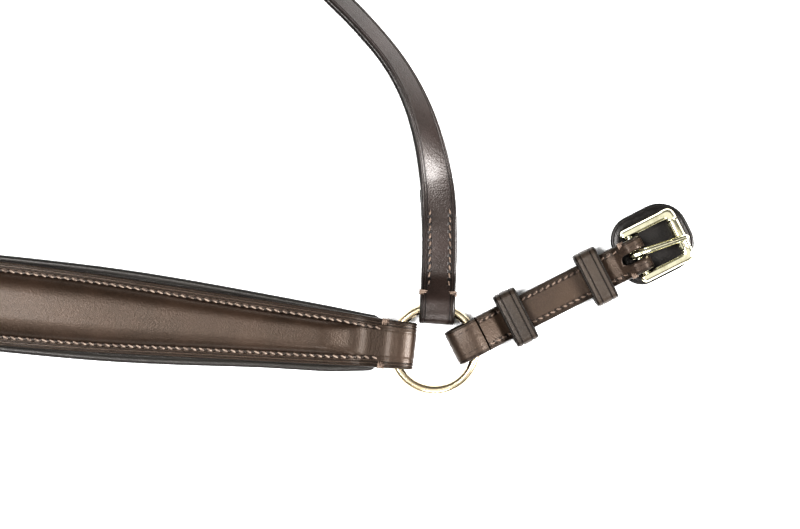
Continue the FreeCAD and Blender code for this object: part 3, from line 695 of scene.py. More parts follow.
def lay_neck(points):
    """Puts strap points on the bent neck line.  The strap rolls about its lower edge, so its
    middle rises by half its width times the sine of the roll."""
    u, v, w = np.moveaxis(points, -1, 0)
    x, y, heading = neck_middle(u)
    heading = np.radians(heading)
    grow = np.clip((u - NECK_ROLL_IN[0]) / (NECK_ROLL_IN[1] - NECK_ROLL_IN[0]), 0, 1)
    fade = np.clip((u - NECK_ROLL_OUT[0]) / (NECK_ROLL_OUT[1] - NECK_ROLL_OUT[0]), 0, 1)
    roll = np.radians(NECK_ROLL) * np.sin(grow * pi / 2) * (1 + np.cos(fade * pi)) / 2
    thick = 2 * PLY - PLY * np.clip((u - NECK_LAP[0]) / (NECK_LAP[1] - NECK_LAP[0]), 0, 1)
    aside = v * np.cos(roll) - w * np.sin(roll) + thick / 2 * np.sin(roll)
    up = v * np.sin(roll) + w * np.cos(roll) + NECK_WIDTH / 2 * np.sin(roll)
    spot = np.stack([x - aside * np.sin(heading), y + aside * np.cos(heading), up], -1)
    return lay(spot, (ring_centre[0], ring_centre[1], CAMERA_TURN))


def strap_section(half, thick, creases, rows=(), pillow=0.2, dip=0.3):
    """Closed outline of a strap at each station: flat below, half-round edges, creases, and a
    face that swells by the pillow times (1 - q^2) towards the middle."""
    half = np.asarray(half, float).reshape(-1, 1)
    pillow = np.asarray(pillow, float).reshape(-1, 1)
    thick = np.asarray(thick, float).reshape(-1, 1) + 0 * half
    a = np.linspace(-pi / 2, pi / 2, 8)
    groove_in, groove_up, groove_dark = crease_columns(creases, dip)
    squeeze = np.clip((half - 0.3) / (groove_in[-1] + 2.2), 0, 1)
    inset = np.concatenate([0.9 * (1 - np.cos(a)), groove_in]) * squeeze
    edge_up = thick / 2 * (1 + np.sin(a))
    field = (half - inset[:, -1:] - 1.0 * squeeze) * np.array([1.0, 0.66, 0.33, 0.02])
    flat = 0 * half
    across = np.concatenate([half * 0.02, half * 0.5, half - 1.6 * squeeze, half - inset, field], 1)
    up = np.concatenate([flat, flat, flat, edge_up, thick + groove_up + 0 * flat, thick + 0 * field], 1)
    groove = np.concatenate([flat, flat, flat, 0 * edge_up, groove_dark + flat, 0 * field], 1)
    edge = np.concatenate([flat - 1, flat - 1, flat - 1, half - across[:, 3:]], 1)
    up = up + pillow * squeeze * (1 - (across / half) ** 2) * (up > thick * 0.99 - dip) * (edge > 0.95)
    outline = [np.concatenate([part, part[:, ::-1] * sign], 1)
               for part, sign in ((across, -1), (up, 1), (edge, 1), (groove, 1))]
    away = np.full(outline[0].shape, UNSEWN)
    if rows:
        low, high = rows
        away = np.where(outline[0] > 0, high - outline[0], outline[0] - low)
    away = np.where(outline[2] < -0.5, -UNSEWN, away)
    return *outline, away


def strap(line, half, thick, creases, rows=(), sewn=(0, 0), pitch=STITCH_PITCH):
    """Grid and marks of a strap swept along its line.  Only what faces up swells, the two rows
    of holes are kept to the sewn part, and plies that lie together stay a hair apart."""
    half = np.zeros(len(line)) + half
    thick = np.zeros(len(line)) + thick - PLY_GAP
    facing_up = np.clip(-np.gradient(line[:, 0]) / np.linalg.norm(np.gradient(line, axis=0), axis=1), 0, 1)
    across, up, edge, groove, away = strap_section(half, thick, creases, rows, 0.22 * facing_up)
    grid = sweep(line, across, up, thick, PLY)
    inside = (grid[..., 0] > sewn[0]) & (grid[..., 0] < sewn[1])
    counted = (grid[..., 0] - sewn[0]) / pitch + 0.5
    away = np.where(inside, away, UNSEWN * np.sign(away))
    return grid, {"edge": edge, "groove": groove, "row": away, "along": counted}


def skived(line, end, length=9.0, left=0.7):
    """Thickness of a strap that thins over a last stretch to its end, the line's point end."""
    distance = np.abs(travelled(line) - travelled(line)[end])
    return PLY - (PLY - left) * (1 - smooth(distance, 0, length))


def stadium(start, end, middle_line, radius):
    """Outline of a slot along u with round ends; a round hole where start and end are one."""
    a = np.linspace(pi / 2, 3 * pi / 2, 12)
    left = np.stack([start + radius * np.cos(a), middle_line + radius * np.sin(a)], -1)
    right = np.stack([end - radius * np.cos(a), middle_line - radius * np.sin(a)], -1)
    outline = np.concatenate([left, right])
    return np.concatenate([outline, 0 * outline[:, :1]], 1)


def punch(piece, outlines):
    """Cuts outlines in the table's plane right through a strap, from below it to above it."""
    drills = []
    for outline in outlines:
        low, high = (outline * (1, 1, 0) + (0, 0, height) for height in (-5.0, 20.0))
        drills.append((np.stack([low, high]), weave(2, len(outline))))
    cutter = cast("cutter", *joined(*drills), piece.data.materials[0])
    cut = piece.modifiers.new("holes", "BOOLEAN")
    cut.operation = "DIFFERENCE"
    cut.object = cutter
    cut.solver = "MANIFOLD"
    whole = bpy.data.meshes.new_from_object(piece.evaluated_get(bpy.context.evaluated_depsgraph_get()))
    piece.modifiers.remove(cut)
    piece.data = whole
    bpy.data.objects.remove(cutter)


def loop_end(top, level=PLY * 1.5, crest=11.5, lap=60.0):
    """Corners of a strap's line from its doubled run over a ring and back underneath."""
    over = [(crest + 10.0, level, 12), (crest, top, 7), (5.6, top, 6), (1.1, top - 1.9, 3.2)]
    return over + [(1.4, PLY / 2, 4.2), (lap, PLY / 2, 0)]


def bar_end(bar, base, foot):
    """Corners from a strap's lower run round a buckle's bar and down on to its upper run."""
    low, high = base + PLY / 2, base + PLY / 2 + 2 * (BAR_ROOM + PLY / 2)
    corners = [(bar - 13.0, foot + PLY / 2, 5), (bar - 8.5, low, 4)] if base > foot else []
    corners += [(bar + 3.55, low, 3.5), (bar + 3.55, high, 3.5), (bar - 3.0, high, 3),
                (bar - 9.6, base + PLY * 1.5, 4)]
    return corners + ([(bar - 15.8, foot + PLY * 1.5, 6)] if base > foot else [])


neck_runs = sum(length for length, _ in NECK_RUNS[:-1])
last_x, last_y, last_heading = neck_middle(neck_runs)
reach_x, _ = turned(last_x, last_y, CAMERA_TURN)
last_heading = radians(last_heading + CAMERA_TURN)
neck_length = neck_runs + (ring_centre[0] + reach_x) / -cos(last_heading) - NECK_END_GAP
neck_bar = neck_length - BAR_TO_END - 1.0
neck_leather = leather("neck_leather", rgb(0.009, 0.006, 0.0045), rgb(0.02, 0.013, 0.011),
                       rgb(0.0032, 0.0027, 0.0024), 0.28)
neck_end = [(NECK_LAP[1] + 4, PLY / 2, NECK_BEND), (NECK_LAP[0] - 2, PLY * 1.5, NECK_BEND)]
neck_end += loop_end(NECK_FOLD_TOP, lap=NECK_LAP[1])

billet_line = bent([(neck_length, PLY / 2, 0)] + neck_end)
to_tip = np.clip((billet_line[:, 0] - neck_length + TIP_LENGTH) / TIP_LENGTH, 0, 1)
billet_half = NECK_WIDTH / 2 * np.sqrt(1 - 0.93 * to_tip ** 2)
grid, marks = strap(billet_line, billet_half, skived(billet_line, -1), NECK_CREASES, NECK_ROWS, NECK_SEWN)
billet = cast("neck_billet_leather", lay_neck(grid), weave(*grid.shape[:2]), neck_leather, **marks)
hole_places = neck_length - NECK_HOLE_BACK - NECK_HOLE_STEP * np.arange(NECK_HOLES)
punch(billet, [lay_neck(stadium(at, at, 0, NECK_HOLE_R)) for at in hole_places])
fasten(billet, "neck_billet", "leather_outer", "neck_billet_strap")

neck_top = top_of(billet_line, PLY / 2, 4, 60)
sewn_u = np.arange(NECK_SEWN[0] + STITCH_PITCH / 2, NECK_SEWN[1], STITCH_PITCH)
neck_stitches = [stitches(np.stack([sewn_u, 0 * sewn_u + row], -1), neck_top, 12 * way)
                 for row, way in zip(NECK_ROWS, (1, -1))]
neck_tacks = [tacks(NECK_TACK, NECK_WIDTH / 2, way, float(neck_top(NECK_TACK)), 2.4, 3, 0.8, 3.4)
              for way in (-1, 1)]
neck_threads = joined(threads(np.concatenate(neck_stitches), THREAD, np.array([0, 1.0, 0])),
                      threads(np.concatenate(neck_tacks), THREAD, np.array([1.0, 0, 0])))
points, faces = neck_threads
billet_thread = cast("neck_billet_stitching", lay_neck(points), faces, tan_thread)
fasten(billet_thread, "neck_billet", "thread_beige", "neck_billet_strap_thread")

lap_start, lap_end = neck_bar - np.array(BUCKLE_LAP)
buckle_line = bent([(lap_start, PLY / 2, 0)] + bar_end(neck_bar, 0, 0)
                   + [(lap_start + 2, PLY * 1.5, 9), (lap_end, PLY / 2, 9)] + neck_end)
thick = np.minimum(skived(buckle_line, -1), skived(buckle_line, 0))
grid, marks = strap(buckle_line, NECK_WIDTH / 2, thick, NECK_CREASES, NECK_ROWS, NECK_SEWN)
buckle_half = cast("neck_buckle_leather", lay_neck(grid) * (-1, 1, 1), weave(*grid.shape[:2]),
                   neck_leather, **marks)
tongue_slot = stadium(-5.7, 9.0, 0.2, 2.3)
punch(buckle_half, [lay_neck(tongue_slot + (neck_bar, 0, 0)) * (-1, 1, 1)])
fasten(buckle_half, "neck_buckle", "leather_outer", "neck_buckle_strap")
buckle_thread = cast("neck_buckle_stitching", lay_neck(points) * (-1, 1, 1), faces, tan_thread)
fasten(buckle_thread, "neck_buckle", "thread_beige", "neck_buckle_strap_thread")

# ---------------------------------------------------------------------------------------------
# Saddle straps: each is one strip folded round its shoulder ring and round a buckle's bar, with
# its two ends butted on top, and sewn along both edges.
# ---------------------------------------------------------------------------------------------
SADDLE_WIDTH = 17.0
SADDLE_START = (8.18, -0.36)     # fold from the ring's centre, before the camera's turn
SADDLE_HEADING = 26.9
SADDLE_BAR = 97.8
SADDLE_TOP = 11.34               # middle of the leather over the ring
SADDLE_CREST = 12.0              # the leather comes down from here
SADDLE_RISE = 27.0               # to here, where it lies on the lower ply
BUTT_AT = 15.6
BUTT_GAP = 0.8
GUARD_T = 2.0
KEEPER_AT = (33.6, 75.6)
KEEPER_CLEAR = 5.5               # no stitch lies closer to a keeper's middle
SADDLE_ROW = 5.9
SADDLE_PITCH = 3.2

ring_place = (ring_centre[0], ring_centre[1], CAMERA_TURN)
saddle_place = moved(ring_place, *SADDLE_START, SADDLE_HEADING)
slope = (SADDLE_TOP - PLY * 1.5) / (SADDLE_RISE - SADDLE_CREST)
butt_height = SADDLE_TOP - slope * (BUTT_AT - SADDLE_CREST)
saddle_line = bent([(BUTT_AT - BUTT_GAP / 2, butt_height, 0), (SADDLE_CREST, SADDLE_TOP, 8),
                    (1.5, SADDLE_TOP - 1.5, 4.2), (1.4, PLY / 2, 4.2)] + bar_end(SADDLE_BAR, GUARD_T, 0)
                   + [(SADDLE_RISE, PLY * 1.5, 9), (BUTT_AT + BUTT_GAP / 2, butt_height, 0)], FINE_STEP)
saddle_leather = leather("saddle_leather", rgb(0.013, 0.009, 0.0072), rgb(0.031, 0.021, 0.015),
                         rgb(0.0038, 0.0032, 0.0029), 0.3, WARM_SHEEN)
grid, marks = strap(saddle_line, SADDLE_WIDTH / 2, PLY, (1.15,), (-SADDLE_ROW, SADDLE_ROW),
                    (BUTT_AT + 1, SADDLE_BAR - 7), SADDLE_PITCH)
saddle_top = top_of(saddle_line, PLY / 2, BUTT_AT + 1, SADDLE_BAR)
sewn_u = np.arange(BUTT_AT + 1 + SADDLE_PITCH / 2, SADDLE_BAR - 8.0, SADDLE_PITCH)
sewn_u = sewn_u[np.min(np.abs(sewn_u[:, None] - np.array(KEEPER_AT)), axis=1) > KEEPER_CLEAR]
saddle_stitches = [stitches(np.stack([sewn_u, 0 * sewn_u + way * SADDLE_ROW], -1), saddle_top, 20 * way, 2.6)
                   for way in (-1, 1)]
tack_at = SADDLE_BAR - 5.5
saddle_tacks = [tacks(tack_at, SADDLE_WIDTH / 2, way, float(saddle_top(tack_at)), 3.0, 4, 0.75, 2.2)
                for way in (-1, 1)]
saddle_threads = joined(threads(np.concatenate(saddle_stitches), THREAD * 0.95, np.array([0, 1.0, 0])),
                        threads(np.concatenate(saddle_tacks), THREAD, np.array([1.0, 0, 0])))
for side, sign in SIDES:
    saddle = cast(side + "_saddle_leather", lay(grid, saddle_place) * (sign, 1, 1), weave(*grid.shape[:2]),
                  saddle_leather, **marks)
    punch(saddle, [lay(tongue_slot + (SADDLE_BAR, 0, 0), saddle_place) * (sign, 1, 1)])
    fasten(saddle, side + "_saddle", "leather_outer", side + "_saddle_strap")
    points, faces = saddle_threads
    rows = cast(side + "_saddle_stitching", lay(points, saddle_place) * (sign, 1, 1), faces, tan_thread)
    fasten(rows, side + "_saddle", "thread_beige", side + "_saddle_thread")

# ---------------------------------------------------------------------------------------------
# Keepers: closed leather bands, creased twice, whose lower run is sewn between the plies of a
# strap.  The saddle straps, the neck strap's buckle half and the girth strap have two each.
# ---------------------------------------------------------------------------------------------
KEEPER_LENGTH = 11.2
KEEPER_T = 1.7
KEEPER_GAP = 5.0
KEEPER_SIDE = 4.85
KEEPER_CREASES = (1.0, 3.7)
NECK_KEEPERS = (58.0, 24.0)      # back from the buckle's bar
GIRTH_KEEPERS = (52.0, 24.0)
GIRTH_BAR = 150.0
GIRTH_WIDTH = 25.0
GIRTH_FOLD = 9.4                 # from the girth strap's fold to the chest ring's centre line


def keeper(width, base, at):
    """Band round a strap of this width: a rounded loop in the (v, w) plane, swept across u."""
    half = width / 2 + KEEPER_SIDE - KEEPER_T / 2
    low = base + PLY
    high = base + 2 * PLY + KEEPER_GAP + KEEPER_T / 2
    line = bent([(half, low, 1.8), (half, high, 3.0), (-half, high, 3.0), (-half, low, 1.8)], 1.6, True)
    half_length = np.full(len(line), KEEPER_LENGTH / 2)
    section = strap_section(half_length, KEEPER_T, KEEPER_CREASES, pillow=0.25, dip=0.42)
    across, up, edge, groove, away = section
    grid = sweep(line, across, up, KEEPER_T, KEEPER_T, True)
    grid = np.stack([grid[..., 1] + at, grid[..., 0], grid[..., 2]], -1)
    return grid, {"edge": edge, "groove": groove, "row": away, "along": 0 * away}


keeper_leather = leather("keeper_leather", rgb(0.014, 0.011, 0.0088), rgb(0.032, 0.024, 0.018),
                         rgb(0.0053, 0.0046, 0.0042), 0.28)
girth_place = (chest_centre[0], chest_centre[1] - (CHEST_RING - GIRTH_FOLD), -90.0)
for name, saddle_at, neck_back, girth_back in zip(("inner", "outer"), KEEPER_AT, NECK_KEEPERS, GIRTH_KEEPERS):
    grid, marks = keeper(SADDLE_WIDTH, 0.0, saddle_at)
    faces = weave(*grid.shape[:2], True)
    for side, sign in SIDES:
        band = cast(f"{side}_saddle_keeper_{name}_band", lay(grid, saddle_place) * (sign, 1, 1), faces,
                    keeper_leather, **marks)
        fasten(band, side + "_saddle", "leather_outer", f"{side}_saddle_keeper_{name}")
    grid, marks = keeper(NECK_WIDTH, 0.0, neck_bar - neck_back)
    band = cast(f"neck_keeper_{name}_band", lay_neck(grid) * (-1, 1, 1), faces, keeper_leather, **marks)
    fasten(band, "neck_buckle", "leather_outer", f"neck_keeper_{name}")
    grid, marks = keeper(GIRTH_WIDTH, PLY, GIRTH_BAR - girth_back)
    band = cast(f"girth_keeper_{name}_band", lay(grid, girth_place), weave(*grid.shape[:2], True),
                keeper_leather, **marks)
    fasten(band, "girth", "leather_outer", f"girth_keeper_{name}")

# ---------------------------------------------------------------------------------------------
# Guards: patches of nearly black leather under the saddle straps' buckles, which keep the metal
# off the saddle.  Each has a rounded outer end, a bevelled rim and a slightly hollow middle.
# ---------------------------------------------------------------------------------------------
GUARD_FROM = SADDLE_BAR - 9.1
GUARD_TO = SADDLE_BAR + 28.2
GUARD_SIDES = (-14.6, 18.4)


def guard_grid():
    """Rings of the rounded outline, drawn in towards its middle; each ring has its own height."""
    x0, x1 = GUARD_FROM, GUARD_TO
    y0, y1 = GUARD_SIDES
    outline = bent([(x0, y0, 9.0), (x1, y0, 13.5), (x1, y1, 13.5), (x0, y1, 12.0)], 1.5, True)
    centre = np.array([(x0 + x1) / 2, (y0 + y1) / 2])
    reach = np.linalg.norm(outline - centre, axis=1)[:, None]
    away = (centre - outline) / reach
    rings = [(14.0, 0.0), (6.0, 0.0), (0.9, 0.0), (0.25, 0.35), (0.0, 1.0), (0.25, 1.65), (0.8, 2.0),
             (1.3, 1.98), (1.55, 1.72), (1.85, 1.72), (2.2, 1.96), (4.0, 1.9), (8.0, 1.8), (14.0, 1.8)]
    inset, height = np.array(rings).T[:, :, None, None]
    flat = outline + away * np.minimum(inset, reach * 0.96)
    return np.concatenate([flat, height + 0 * flat[..., :1]], -1), inset[..., 0] + 0 * reach[:, 0]


grid, inset = guard_grid()
guard_leather = leather("guard_leather", rgb(0.0026, 0.0023, 0.0021), rgb(0.0058, 0.0049, 0.0042),
                        rgb(0.0058, 0.0058, 0.0058), 0.27)
for side, sign in SIDES:
    guard = cast(side + "_saddle_guard_leather", lay(grid, saddle_place) * (sign, 1, 1),
                 weave(*grid.shape[:2]), guard_leather, **unsewn_marks(inset))
    fasten(guard, side + "_saddle", "leather_guard", side + "_saddle_buckle_guard")

# ---------------------------------------------------------------------------------------------
# Roller buckles: cast frames with bevelled side bars, a hinge bar inside the leather's fold and
# a thin pin at the outer end, a sheet-metal roller on that pin, and a tongue hooked round the
# bar.  Polished, plated a pale greenish gold.  Saddle straps, neck strap and girth strap.
# ---------------------------------------------------------------------------------------------
BAR_R = 1.8
FRAME_HALF_T = 1.8
FRAME_SIDE = 4.35
FRAME_PLAY = 0.55
FRAME_START = -3.4
CORNER_BEND = 3.0
ROLLER_AT = 21.6
ROLLER_R = 2.8
ROLLER_BORE = 1.6
PIN_R = 1.5
END_HALF = 2.6                   # half width of the frame's outer end along the strap
TONGUE_WRAP = 2.72               # radius of the tongue's own middle line round the bar
TONGUE_TIP = (25.3, -2.8, 4.4)   # along, left and up from the bar's axis
TONGUE_ROOT = 0.6


def buckle_paint(tree, where):
    """Pale greenish gold plating, a little duller in clouds, with fine scratches."""
    dull = noise(tree, where, 130, 3, 0.6).eased(0.45, 0.8)
    scratches = noise(tree, where, 2300, 3, 0.7)
    colour = dull.between(rgb(0.78, 0.75, 0.56), rgb(0.42, 0.38, 0.24))
    return colour, 0.10 + dull * 0.14 + scratches * 0.05, scratches, 0.015


def rod(start, end, radius, sides=24):
    """Plain round rod between two points with the same u and w."""
    a = np.linspace(0, 2 * pi, sides, endpoint=False)
    rim = np.stack([radius * np.cos(a), 0 * a, radius * np.sin(a)], -1)
    return np.stack([rim + start, rim + end]), weave(2, sides)


def side_bar(width, way):
    """One side of the frame: a bevelled bar that turns inwards at the outer end to the roller.
    Round the turn its outer side follows |x|^3 + |y|^3 = 1 instead of a circle, so that the
    corner is squarer."""
    inner = width / 2 + FRAME_PLAY
    centre = inner + FRAME_SIDE / 2
    stub = width / 2 - 0.9
    line = bent([(FRAME_START, centre, 0), (BAR_TO_END - END_HALF, centre, CORNER_BEND),
                 (BAR_TO_END - END_HALF, stub, 0)], 0.7)
    tangent = np.gradient(line, axis=0)
    tangent /= np.linalg.norm(tangent, axis=1)[:, None]
    gone = travelled(line)
    bend_at = BAR_TO_END - END_HALF - CORNER_BEND - FRAME_START
    half = FRAME_SIDE / 2 + (END_HALF - FRAME_SIDE / 2) * smooth(gone, bend_at - 2, bend_at + 3)
    nose = np.sqrt(np.clip(1 - ((2.2 - np.minimum(gone, 2.2)) / 2.25) ** 2, 0.04, 1))
    section = np.array([(-1, -0.45), (-0.7, -1), (0.7, -1), (1, -0.45), (1, 0.3), (0.62, 0.86), (0.3, 1.0),
                        (-0.5, 0.94), (-0.84, 0.66), (-1, 0.3)])
    squarer = np.sum(np.abs(tangent) ** 3, axis=1) ** (-1 / 3) - 1
    out = section[:, 0] * (half * nose)[:, None]
    out += (section[:, 0] > 0) * ((CORNER_BEND + half) * squarer)[:, None]
    up = section[:, 1] * (FRAME_HALF_T * (0.55 + 0.45 * nose))[:, None]
    u = line[:, :1] - tangent[:, 1:] * out
    v = line[:, 1:] + tangent[:, :1] * out
    return np.stack([u, way * v, up], -1), weave(*out.shape)


def turned_out(block):
    """A group with its faces reversed, for a part mirrored within a piece."""
    points, faces = block
    return points, [face[:, ::-1] for face in faces]


def roller(width):
    """Tube of rolled sheet with rounded rims and the groove of its seam."""
    half = width / 2 - 1.4
    profile = np.array([(-half, 1.7), (-half, 2.45), (-half + 0.12, 2.68), (-half + 0.4, ROLLER_R),
                        (0, ROLLER_R), (half - 0.4, ROLLER_R), (half - 0.12, 2.68), (half, 2.45),
                        (half, 1.7), (half, ROLLER_BORE), (0, ROLLER_BORE), (-half, ROLLER_BORE)])
    a = np.linspace(0, 2 * pi, 60, endpoint=False)[:, None]
    seam = 0.28 * np.exp(-((a - radians(118)) / radians(5)) ** 2) * (profile[:, 1] > 2.0)
    radius = profile[:, 1] - seam
    points = np.stack([radius * np.cos(a), profile[:, 0] + 0 * a, radius * np.sin(a)], -1)
    return points + (ROLLER_AT, 0, 0), weave(*radius.shape, True)


def tongue():
    """Flattened wire hooked round the bar from in front, under and behind it, then straight out
    over the roller to a tapered tip, with a ridge along its top."""
    hook = np.radians(np.linspace(-50, -270, 30))
    tip_u, tip_v, tip_w = TONGUE_TIP
    run = np.linspace(0, 1, 34)[1:]
    reach = np.where(np.cos(hook) < 0, 1.22, 1.0)
    u = np.concatenate([TONGUE_WRAP * reach * np.cos(hook), tip_u * run])
    climb = TONGUE_WRAP + (tip_w - TONGUE_WRAP) * smooth(run, -0.3, 1.1)
    w = np.concatenate([TONGUE_WRAP * np.sin(hook), climb])
    line = np.stack([u, w], -1)
    tangent = np.gradient(line, axis=0)
    tangent /= np.linalg.norm(tangent, axis=1)[:, None]
    out = np.clip(u / tip_u, 0, 1)
    gone = travelled(line)
    end = np.sqrt(np.clip(1 - ((gone - gone[-1] + 2.2) / 2.25).clip(0) ** 2, 0.03, 1))
    start = np.sqrt(np.clip(1 - ((1.2 - gone) / 1.25).clip(0) ** 2, 0.06, 1))
    half = (1.8 - 0.35 * out) * end * start
    thick = (0.8 + 0.38 * smooth(u, 1.0, 7.0)) * end * start
    section = np.array([(-1, -0.2), (-0.7, -0.9), (0, -1), (0.7, -0.9), (1, -0.2), (0.62, 0.62), (0.12, 1.0),
                        (-0.12, 1.0), (-0.62, 0.62)])
    rise = section[:, 1] * thick[:, None]
    points = np.stack([line[:, :1] - tangent[:, 1:] * rise,
                       TONGUE_ROOT + (tip_v - TONGUE_ROOT) * out[:, None] + section[:, 0] * half[:, None],
                       line[:, 1:] + tangent[:, :1] * rise], -1)
    return points, weave(*rise.shape)


buckle_metal = finish("buckle_metal", buckle_paint, {"Metallic": 1.0})


def buckle(owner, width, bar_u, base, settle):
    """Frame, roller and tongue of a strap's buckle; settle puts strap points into place."""
    bar = (bar_u, 0, base + PLY + BAR_ROOM)
    inner = width / 2 + FRAME_PLAY + 1.0
    stub = width / 2 - 0.45
    frame_parts = joined(side_bar(width, 1), turned_out(side_bar(width, -1)),
                         turned_out(rod((0, -inner, 0), (0, inner, 0), BAR_R)),
                         turned_out(rod((ROLLER_AT, -stub, 0), (ROLLER_AT, stub, 0), PIN_R)))
    for part, (points, faces) in (("frame", frame_parts), ("roller", roller(width)), ("tongue", tongue())):
        piece = cast(f"{owner}_buckle_{part}_metal", settle(points + bar), faces, buckle_metal, 30.0)
        if part != "roller":
            soft = piece.modifiers.new("softened_edges", "BEVEL")
            soft.width = 0.22 * MM
            soft.segments = 2
            soft.limit_method = "ANGLE"
            soft.angle_limit = radians(28)
        fasten(piece, f"{owner}_{part}", "buckle_metal", f"{owner}_buckle_{part}")


for side, sign in SIDES:
    buckle(side + "_saddle", SADDLE_WIDTH, SADDLE_BAR, GUARD_T,
           lambda points: lay(points, saddle_place) * (sign, 1, 1))
buckle("neck", NECK_WIDTH, neck_bar, 0.0, lambda points: lay_neck(points) * (-1, 1, 1))
buckle("girth", GIRTH_WIDTH, GIRTH_BAR, PLY, lambda points: lay(points, girth_place))

# ---------------------------------------------------------------------------------------------
# Girth strap: a wide strap folded round the chest ring and sewn back on itself, with a pointed
# end and six holes.  A short doubled chape sewn on top of it carries its buckle.
# ---------------------------------------------------------------------------------------------
GIRTH_REACH = 449.4              # from the fold to the point
GIRTH_DOUBLE = 68.0
GIRTH_TIP = 22.0
GIRTH_TOP = 12.3
GIRTH_ROW = 9.5
GIRTH_SEWN = (24, 66)
GIRTH_HOLES = 6
GIRTH_HOLE_BACK = 42.0           # from the point to the first hole
GIRTH_HOLE_STEP = 25.0
GIRTH_HOLE_R = 2.3
CHAPE_START = 82.0

girth_line = bent([(GIRTH_REACH, PLY / 2, 0), (GIRTH_DOUBLE + 12, PLY / 2, 9),
                   (GIRTH_DOUBLE - 2, PLY * 1.5, 9)] + loop_end(GIRTH_TOP, crest=13.3, lap=GIRTH_DOUBLE + 6))
to_tip = np.clip((girth_line[:, 0] - GIRTH_REACH + GIRTH_TIP) / GIRTH_TIP, 0, 1)
girth_half = GIRTH_WIDTH / 2 * np.sqrt(1 - 0.95 * to_tip ** 2)
grid, marks = strap(girth_line, girth_half, skived(girth_line, -1), (1.5, 3.0), (-GIRTH_ROW, GIRTH_ROW),
                    GIRTH_SEWN)
girth_leather = leather("girth_leather", rgb(0.0098, 0.007, 0.0052), rgb(0.022, 0.016, 0.011),
                        rgb(0.0034, 0.0029, 0.0026), 0.3)
girth = cast("girth_strap_leather", lay(grid, girth_place), weave(*grid.shape[:2]), girth_leather, **marks)
hole_places = GIRTH_REACH - GIRTH_HOLE_BACK - GIRTH_HOLE_STEP * np.arange(GIRTH_HOLES)
punch(girth, [lay(stadium(at, at, 0, GIRTH_HOLE_R), girth_place) for at in hole_places])
fasten(girth, "girth", "leather_outer", "girth_strap")

chape_line = bent([(CHAPE_START + 0.3, PLY * 1.5, 0)] + bar_end(GIRTH_BAR, PLY, PLY)
                  + [(CHAPE_START, PLY * 2.5, 0)])
grid, marks = strap(chape_line, GIRTH_WIDTH / 2, PLY, (1.5,), (-GIRTH_ROW, GIRTH_ROW),
                    (CHAPE_START + 2, GIRTH_BAR - 8))
chape = cast("girth_chape_leather", lay(grid, girth_place), weave(*grid.shape[:2]), girth_leather, **marks)
punch(chape, [lay(tongue_slot + (GIRTH_BAR, 0, 0), girth_place)])
fasten(chape, "girth", "leather_outer", "girth_chape")


def sewn_rows(start, end, row, surface, gaps=()):
    """Threads of two rows of stitches between start and end, left out at the gaps."""
    u = np.arange(start + STITCH_PITCH / 2, end, STITCH_PITCH)
    for gap in gaps:
        u = u[np.abs(u - gap) > KEEPER_LENGTH / 2]
    lines = [stitches(np.stack([u, 0 * u + way * row], -1), surface, STITCH_SLANT * way) for way in (-1, 1)]
    return threads(np.concatenate(lines), THREAD, np.array([0, 1.0, 0]))


girth_top = top_of(girth_line, PLY / 2, 14, 80)
points, faces = joined(sewn_rows(*GIRTH_SEWN, GIRTH_ROW, girth_top),
                       sewn_rows(CHAPE_START + 2, GIRTH_BAR - 11, GIRTH_ROW, lambda at: PLY * 3 + 0 * at,
                                 [GIRTH_BAR - back for back in GIRTH_KEEPERS]))
girth_thread = cast("girth_stitching", lay(points, girth_place), faces, tan_thread)
fasten(girth_thread, "girth", "thread_beige", "girth_thread")

# ---------------------------------------------------------------------------------------------
# Running fork: a doubled trunk folded round the chest ring, sewn over two narrow branches that
# are each folded round a rein ring.
# ---------------------------------------------------------------------------------------------
FORK_FOLD = 22.1                 # from the chest ring's centre
FORK_TRUNK = 16.0
FORK_SPLIT = 78.0
FORK_TOP = 10.9
FORK_BRANCH = 15.0
BRANCH_FOLD = 258.6
BRANCH_START = 52.0
BRANCH_TOP = 10.96
FORK_ROW = 5.3
TRUNK_SEWN = (22.0, FORK_SPLIT - FORK_FOLD)
BRANCH_SEWN = (19, 40)

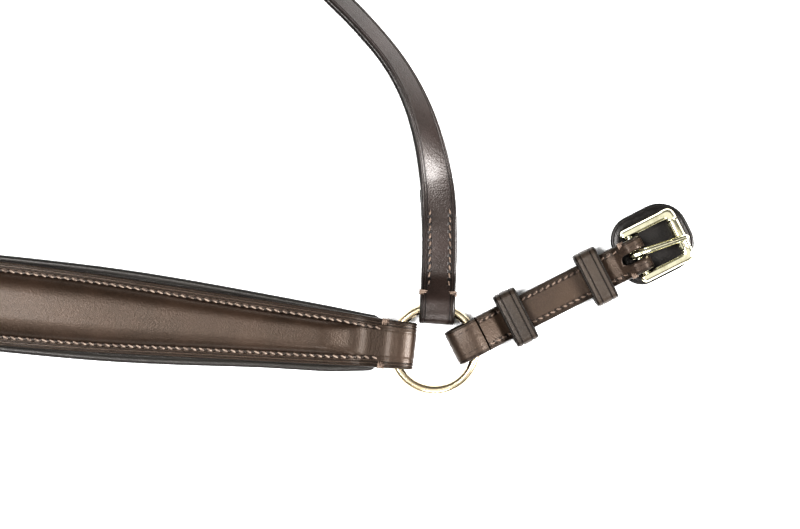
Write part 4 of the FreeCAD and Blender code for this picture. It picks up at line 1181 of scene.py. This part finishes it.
fork_place = (chest_centre[0], chest_centre[1], 90.0)
trunk_place = moved(fork_place, FORK_FOLD, 0)
trunk_line = bent([(FORK_SPLIT - FORK_FOLD, PLY * 1.5, 0)]
                  + loop_end(FORK_TOP, crest=11.8, lap=BRANCH_START - FORK_FOLD - 2))
grid, marks = strap(trunk_line, FORK_TRUNK / 2, PLY, (1.3,), (-FORK_ROW, FORK_ROW), TRUNK_SEWN)
trunk = cast("fork_trunk_leather", lay(grid, trunk_place), weave(*grid.shape[:2]), girth_leather, **marks)
fasten(trunk, "fork", "leather_outer", "fork_strap")

branch_length = BRANCH_FOLD - BRANCH_START
branch_line = bent([(branch_length, PLY / 2, 0), (49.0, PLY / 2, 8), (38.0, PLY * 1.5, 8)]
                   + loop_end(BRANCH_TOP, crest=11.0, lap=46.0))
branch_grid, branch_marks = strap(branch_line, FORK_BRANCH / 2, skived(branch_line, -1), (1.3,),
                                  (-FORK_ROW, FORK_ROW), BRANCH_SEWN)
branch_rows = sewn_rows(*BRANCH_SEWN, FORK_ROW, top_of(branch_line, PLY / 2, 11, 60))
trunk_rows = sewn_rows(TRUNK_SEWN[0], TRUNK_SEWN[1] - 2, FORK_ROW, top_of(trunk_line, PLY / 2, 12, 60))
fork_threads = [(lay(trunk_rows[0], trunk_place), trunk_rows[1])]
for name, node in (("right", "right_rein_ring"), ("left", "left_rein_ring")):
    rein_centre = middle(node)
    toward = degrees(atan2(rein_centre[1] - chest_centre[1], rein_centre[0] - chest_centre[0]))
    branch_place = moved((chest_centre[0], chest_centre[1], toward), BRANCH_FOLD, 0, 180)
    branch = cast(f"fork_{name}_branch_leather", lay(branch_grid, branch_place),
                  weave(*branch_grid.shape[:2]), girth_leather, **branch_marks)
    fasten(branch, "fork", "leather_outer", "fork_strap")
    fork_threads.append((lay(branch_rows[0], branch_place), branch_rows[1]))
fork_stitching = cast("fork_stitching", *joined(*fork_threads), tan_thread)
fasten(fork_stitching, "fork", "thread_beige", "fork_thread")
